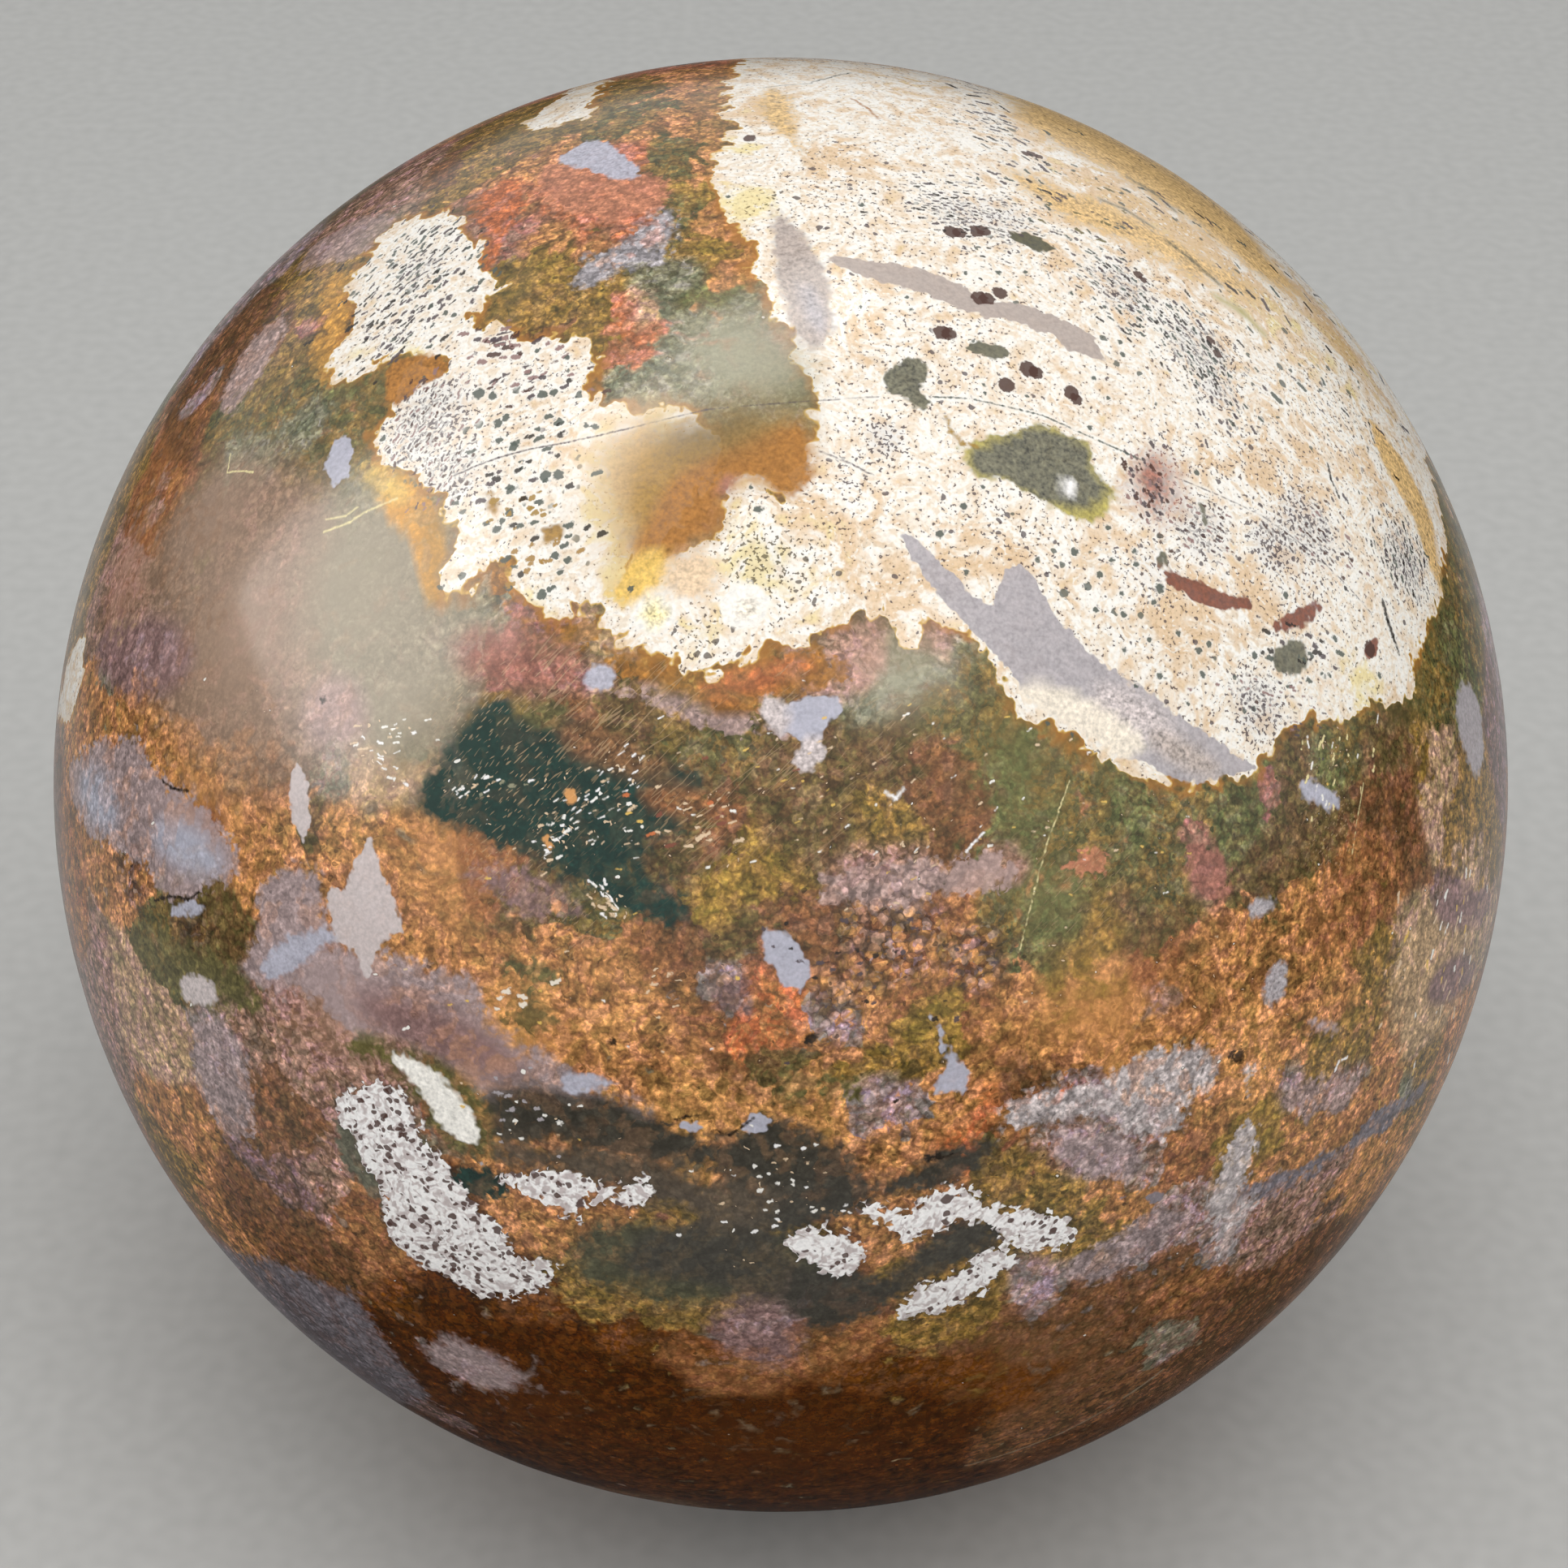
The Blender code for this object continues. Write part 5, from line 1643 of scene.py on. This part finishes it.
def stone_material():
    """Polished jasper: every layer of its markings, and a hard gloss that its scratches dull."""
    polish = bpy.context.scene.jasper_polish
    material = bpy.data.materials.new("jasper")
    material.use_nodes = True
    nodes = Nodes(material.node_tree)
    shader = material.node_tree.nodes["Principled BSDF"]
    shared = shared_noise(nodes)
    tints = nodes.parts(nodes.attribute("cream")["Vector"])
    specks = nodes.parts(nodes.attribute("specks")["Vector"])
    wear = nodes.parts(nodes.attribute("wear")["Vector"])

    paint, contrast = lay_stains(nodes, shared, ground_paint(nodes, shared, wear["Z"]))
    paint = lay_texture(nodes, shared, paint, wear["Z"], contrast)
    paint, scratch = lay_wear(nodes, shared, paint, wear)
    cream = cream_paint(nodes, shared, tints["Y"], tints["Z"], specks["X"], specks["Y"])
    paint, on_cream = lay_cream(nodes, shared, paint, cream, tints["X"])
    paint, bare = lay_inlays(nodes, shared, paint)
    paint = lay_white(nodes, shared, paint, specks["Z"], specks["Y"])
    haloed = nodes.product(on_cream, bare, nodes.fit(tints["Y"], 0.4, 1.0, 0.5, 0.1))
    paint = lay_marks(nodes, shared, paint, haloed)
    nodes.tree.links.new(paint, shader.inputs["Base Color"])

    rough = nodes.fit(shared["grained"], 0.3, 0.7, polish.roughness * 0.8, polish.roughness * 1.25)
    rough = nodes.math("ADD", rough, nodes.math("MULTIPLY", scratch, 0.5))
    nodes.tree.links.new(rough, shader.inputs["Roughness"])
    shader.inputs["IOR"].default_value = STONE_IOR
    return material


def floor_material():
    """Plain pale board with a faint tooth."""
    stage = bpy.context.scene.jasper_stage
    material = bpy.data.materials.new("pale board")
    material.use_nodes = True
    nodes = Nodes(material.node_tree)
    shader = material.node_tree.nodes["Principled BSDF"]
    at = nodes.add("ShaderNodeTexCoord").outputs["Object"]
    tooth = nodes.noise(at, 900.0, 0.0)["Fac"]
    paint = nodes.mix(tooth, [0.92 * part for part in stage.floor_colour], [1.06 * part for part in stage.floor_colour])
    nodes.tree.links.new(paint, shader.inputs["Base Color"])
    shader.inputs["Roughness"].default_value = FLOOR_ROUGHNESS
    return material


def add_lamp(name, place, aim, size, brightness, colour):
    """A soft rectangular lamp at a place that faces another, its brightness that of its surface."""
    lamp = bpy.data.lights.new(name, "AREA")
    lamp.shape = "RECTANGLE"
    lamp.size, lamp.size_y = size
    lamp.energy = brightness * math.pi * lamp.size * lamp.size_y
    lamp.color = colour
    holder = bpy.data.objects.new(name, lamp)
    holder.location = place
    holder.rotation_euler = (Vector(place) - Vector(aim)).to_track_quat("Z", "Y").to_euler()
    holder.visible_camera = False
    bpy.context.scene.collection.objects.link(holder)
    return holder


def glinting_place(pixel):
    """Where a lamp stands so that the camera sees its reflection at a point of the photograph."""
    outward = Vector(on_stone(pixel))
    eye = Vector(TOWARDS) * CAMERA_DISTANCE
    ray = (outward - eye).normalized()
    bounced = ray - 2 * ray.dot(outward) * outward
    return CENTRE + outward * RADIUS + bounced * LAMP_DISTANCE


class BallShape(bpy.types.PropertyGroup):
    """Sizes of the ball."""

    radius: bpy.props.FloatProperty(
        name="Radius", description="Radius of the ball", default=RADIUS, min=0.005, unit="LENGTH",
    )
    points: bpy.props.IntProperty(
        name="Points per side", description="Fineness of each of the six sides of its mesh", default=129, min=3,
    )
    waves: bpy.props.FloatProperty(
        name="Waves", description="Height of the faint waves in its surface", default=0.000015, unit="LENGTH",
    )


class StonePolish(bpy.types.PropertyGroup):
    """The stone's gloss."""

    roughness: bpy.props.FloatProperty(
        name="Roughness", description="How much its reflections blur", default=0.17, min=0, max=1, subtype="FACTOR",
    )


class StageLook(bpy.types.PropertyGroup):
    """The studio."""

    floor_colour: bpy.props.FloatVectorProperty(
        name="Floor", description="Colour of the floor", default=(0.47, 0.47, 0.455), subtype="COLOR",
    )
    sky: bpy.props.FloatProperty(name="Sky", description="Brightness overhead", default=0.55, min=0)
    lamps: bpy.props.FloatProperty(name="Lamps", description="Brightness of the lamps", default=1.0, min=0)


StoneColours = type("StoneColours", (bpy.types.PropertyGroup,), {
    "__doc__": "The colours of the stone's markings.",
    "__annotations__": {
        name: bpy.props.FloatVectorProperty(
            name=name.replace("_", " ").capitalize(), description="A colour of the stone",
            default=linear(*shown), subtype="COLOR", min=0, max=1,
        )
        for name, shown in PALETTE.items()
    },
})


class JASPER_OT_ball(bpy.types.Operator):
    """Build the ball with its shallow pits and faint waves"""

    bl_idname = "jasper.ball"
    bl_label = "Ball"

    def execute(self, context):
        shape = context.scene.jasper_ball
        values = {
            "Radius": shape.radius, "Middle": CENTRE, "Foot level": FOOT_LEVEL, "Points per side": shape.points,
            "Material": None,
        }
        mesh = grown_mesh(ball_tree(), values, BALL_NAME)
        wear_surface(mesh, [spot(*given, "near_black") for given in DARK_PITS], shape.waves)
        ball = bpy.data.objects.new(BALL_NAME, mesh)
        context.scene.collection.objects.link(ball)
        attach(ball, "root")
        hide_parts("sphere")
        return {"FINISHED"}


class JASPER_OT_markings(bpy.types.Operator):
    """Lay the stone's markings on the ball as attributes of its mesh"""

    bl_idname = "jasper.markings"
    bl_label = "Markings"

    def execute(self, context):
        mesh = bpy.data.objects[BALL_NAME].data
        chance = random.Random(SEED)
        keep_fields(mesh, chance)
        keep_marks(mesh, all_marks(chance))
        return {"FINISHED"}


class JASPER_OT_polish(bpy.types.Operator):
    """Give the ball its polished stone material"""

    bl_idname = "jasper.polish"
    bl_label = "Polish"

    def execute(self, context):
        mesh = bpy.data.objects[BALL_NAME].data
        mesh.materials.clear()
        mesh.materials.append(stone_material())
        return {"FINISHED"}


class JASPER_OT_stage(bpy.types.Operator):
    """Set up the floor, the lamps and the camera"""

    bl_idname = "jasper.stage"
    bl_label = "Stage"

    def execute(self, context):
        scene = context.scene
        stage = scene.jasper_stage
        floor = bpy.data.objects.new("floor", bpy.data.meshes.new("floor"))
        corners = [(x * FLOOR_REACH, y * FLOOR_REACH, FOOT_LEVEL) for x, y in ((-1, -1), (1, -1), (1, 1), (-1, 1))]
        floor.data.from_pydata(corners, [], [(0, 1, 2, 3)])
        floor.data.materials.append(floor_material())
        scene.collection.objects.link(floor)
        floor.visible_glossy = False

        scene.world = bpy.data.worlds.new("studio")
        scene.world.use_nodes = True
        nodes = Nodes(scene.world.node_tree)
        height = nodes.parts(nodes.add("ShaderNodeTexCoord").outputs["Generated"])["Z"]
        background = scene.world.node_tree.nodes["Background"]
        background.inputs["Color"].default_value = (*SKY_COLOUR, 1.0)
        overhead = nodes.fit(height, *SKY_RISE, HORIZON_LIGHT, stage.sky)
        overhead = nodes.math("MULTIPLY", overhead, nodes.fit(height, *HORIZON_BLUR, BACKDROP_LIGHT / HORIZON_LIGHT, 1.0))
        far_floor = nodes.product(
            nodes.fit(height, *FAR_FLOOR_FROM, 0.0, 1.0), nodes.fit(height, *FAR_FLOOR_TO, 1.0, 0.0), FAR_FLOOR_LIGHT,
        )
        light = nodes.math("ADD", overhead, far_floor)
        nodes.tree.links.new(light, background.inputs["Strength"])
        for name, pixel, width, depth, brightness, colour in LAMPS:
            size = width * LAMP_DISTANCE, depth * LAMP_DISTANCE
            lamp = add_lamp(name, glinting_place(pixel), CENTRE, size, brightness * stage.lamps, colour)
            lamp.visible_diffuse = False
        for name, azimuth, elevation, width, brightness in UNSEEN_LAMPS:
            place = CENTRE + Vector(facing(azimuth, elevation)) * LAMP_DISTANCE
            size = (width * LAMP_DISTANCE,) * 2
            lamp = add_lamp(name, place, CENTRE, size, brightness * stage.lamps, (1, 1, 1))
            lamp.visible_glossy = False

        camera = bpy.data.objects.new("camera", bpy.data.cameras.new("camera"))
        camera.data.lens = FOCAL_PIXELS / PHOTO_SIZE * camera.data.sensor_width
        camera.data.shift_x = (PHOTO_SIZE / 2 - SILHOUETTE_CENTRE[0]) / PHOTO_SIZE
        camera.data.shift_y = (SILHOUETTE_CENTRE[1] - PHOTO_SIZE / 2) / PHOTO_SIZE
        camera.data.clip_start = RADIUS * 0.1
        camera.location = CENTRE + Vector(TOWARDS) * CAMERA_DISTANCE * RADIUS
        camera.rotation_euler = Vector(TOWARDS).to_track_quat("Z", "Y").to_euler()
        scene.collection.objects.link(camera)
        scene.camera = camera
        scene.view_settings.view_transform = "Standard"
        return {"FINISHED"}


class JASPER_PT_panel(bpy.types.Panel):
    """Sizes, colours and steps of the ocean jasper sphere"""

    bl_idname = "JASPER_PT_panel"
    bl_label = "Ocean Jasper Sphere"
    bl_space_type = "VIEW_3D"
    bl_region_type = "UI"
    bl_category = "Jasper"

    def draw(self, context):
        for label, group in (
            ("Ball", context.scene.jasper_ball), ("Polish", context.scene.jasper_polish),
            ("Stage", context.scene.jasper_stage), ("Colours", context.scene.jasper_colours),
        ):
            box = self.layout.box()
            box.label(text=label)
            for name in group.__annotations__:
                box.prop(group, name)
        for operator in OPERATORS:
            self.layout.operator(operator.bl_idname)


OPERATORS = (JASPER_OT_ball, JASPER_OT_markings, JASPER_OT_polish, JASPER_OT_stage)
GROUPS = {
    "jasper_ball": BallShape, "jasper_polish": StonePolish, "jasper_stage": StageLook,
    "jasper_colours": StoneColours,
}


def register():
    """Makes the groups, operators and panel known to Blender."""
    for name, group in GROUPS.items():
        bpy.utils.register_class(group)
        setattr(bpy.types.Scene, name, bpy.props.PointerProperty(type=group))
    for shown in (*OPERATORS, JASPER_PT_panel):
        bpy.utils.register_class(shown)


def unregister():
    """Takes back what register made known."""
    for shown in (JASPER_PT_panel, *reversed(OPERATORS)):
        bpy.utils.unregister_class(shown)
    for name, group in GROUPS.items():
        delattr(bpy.types.Scene, name)
        bpy.utils.unregister_class(group)


def main():
    """Builds the sphere and its stage, and writes the two boxes down."""
    register()
    bpy.ops.jasper.ball()
    bpy.ops.jasper.markings()
    bpy.ops.jasper.polish()
    bpy.ops.jasper.stage()
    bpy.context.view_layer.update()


if __name__ == "__main__":
    main()
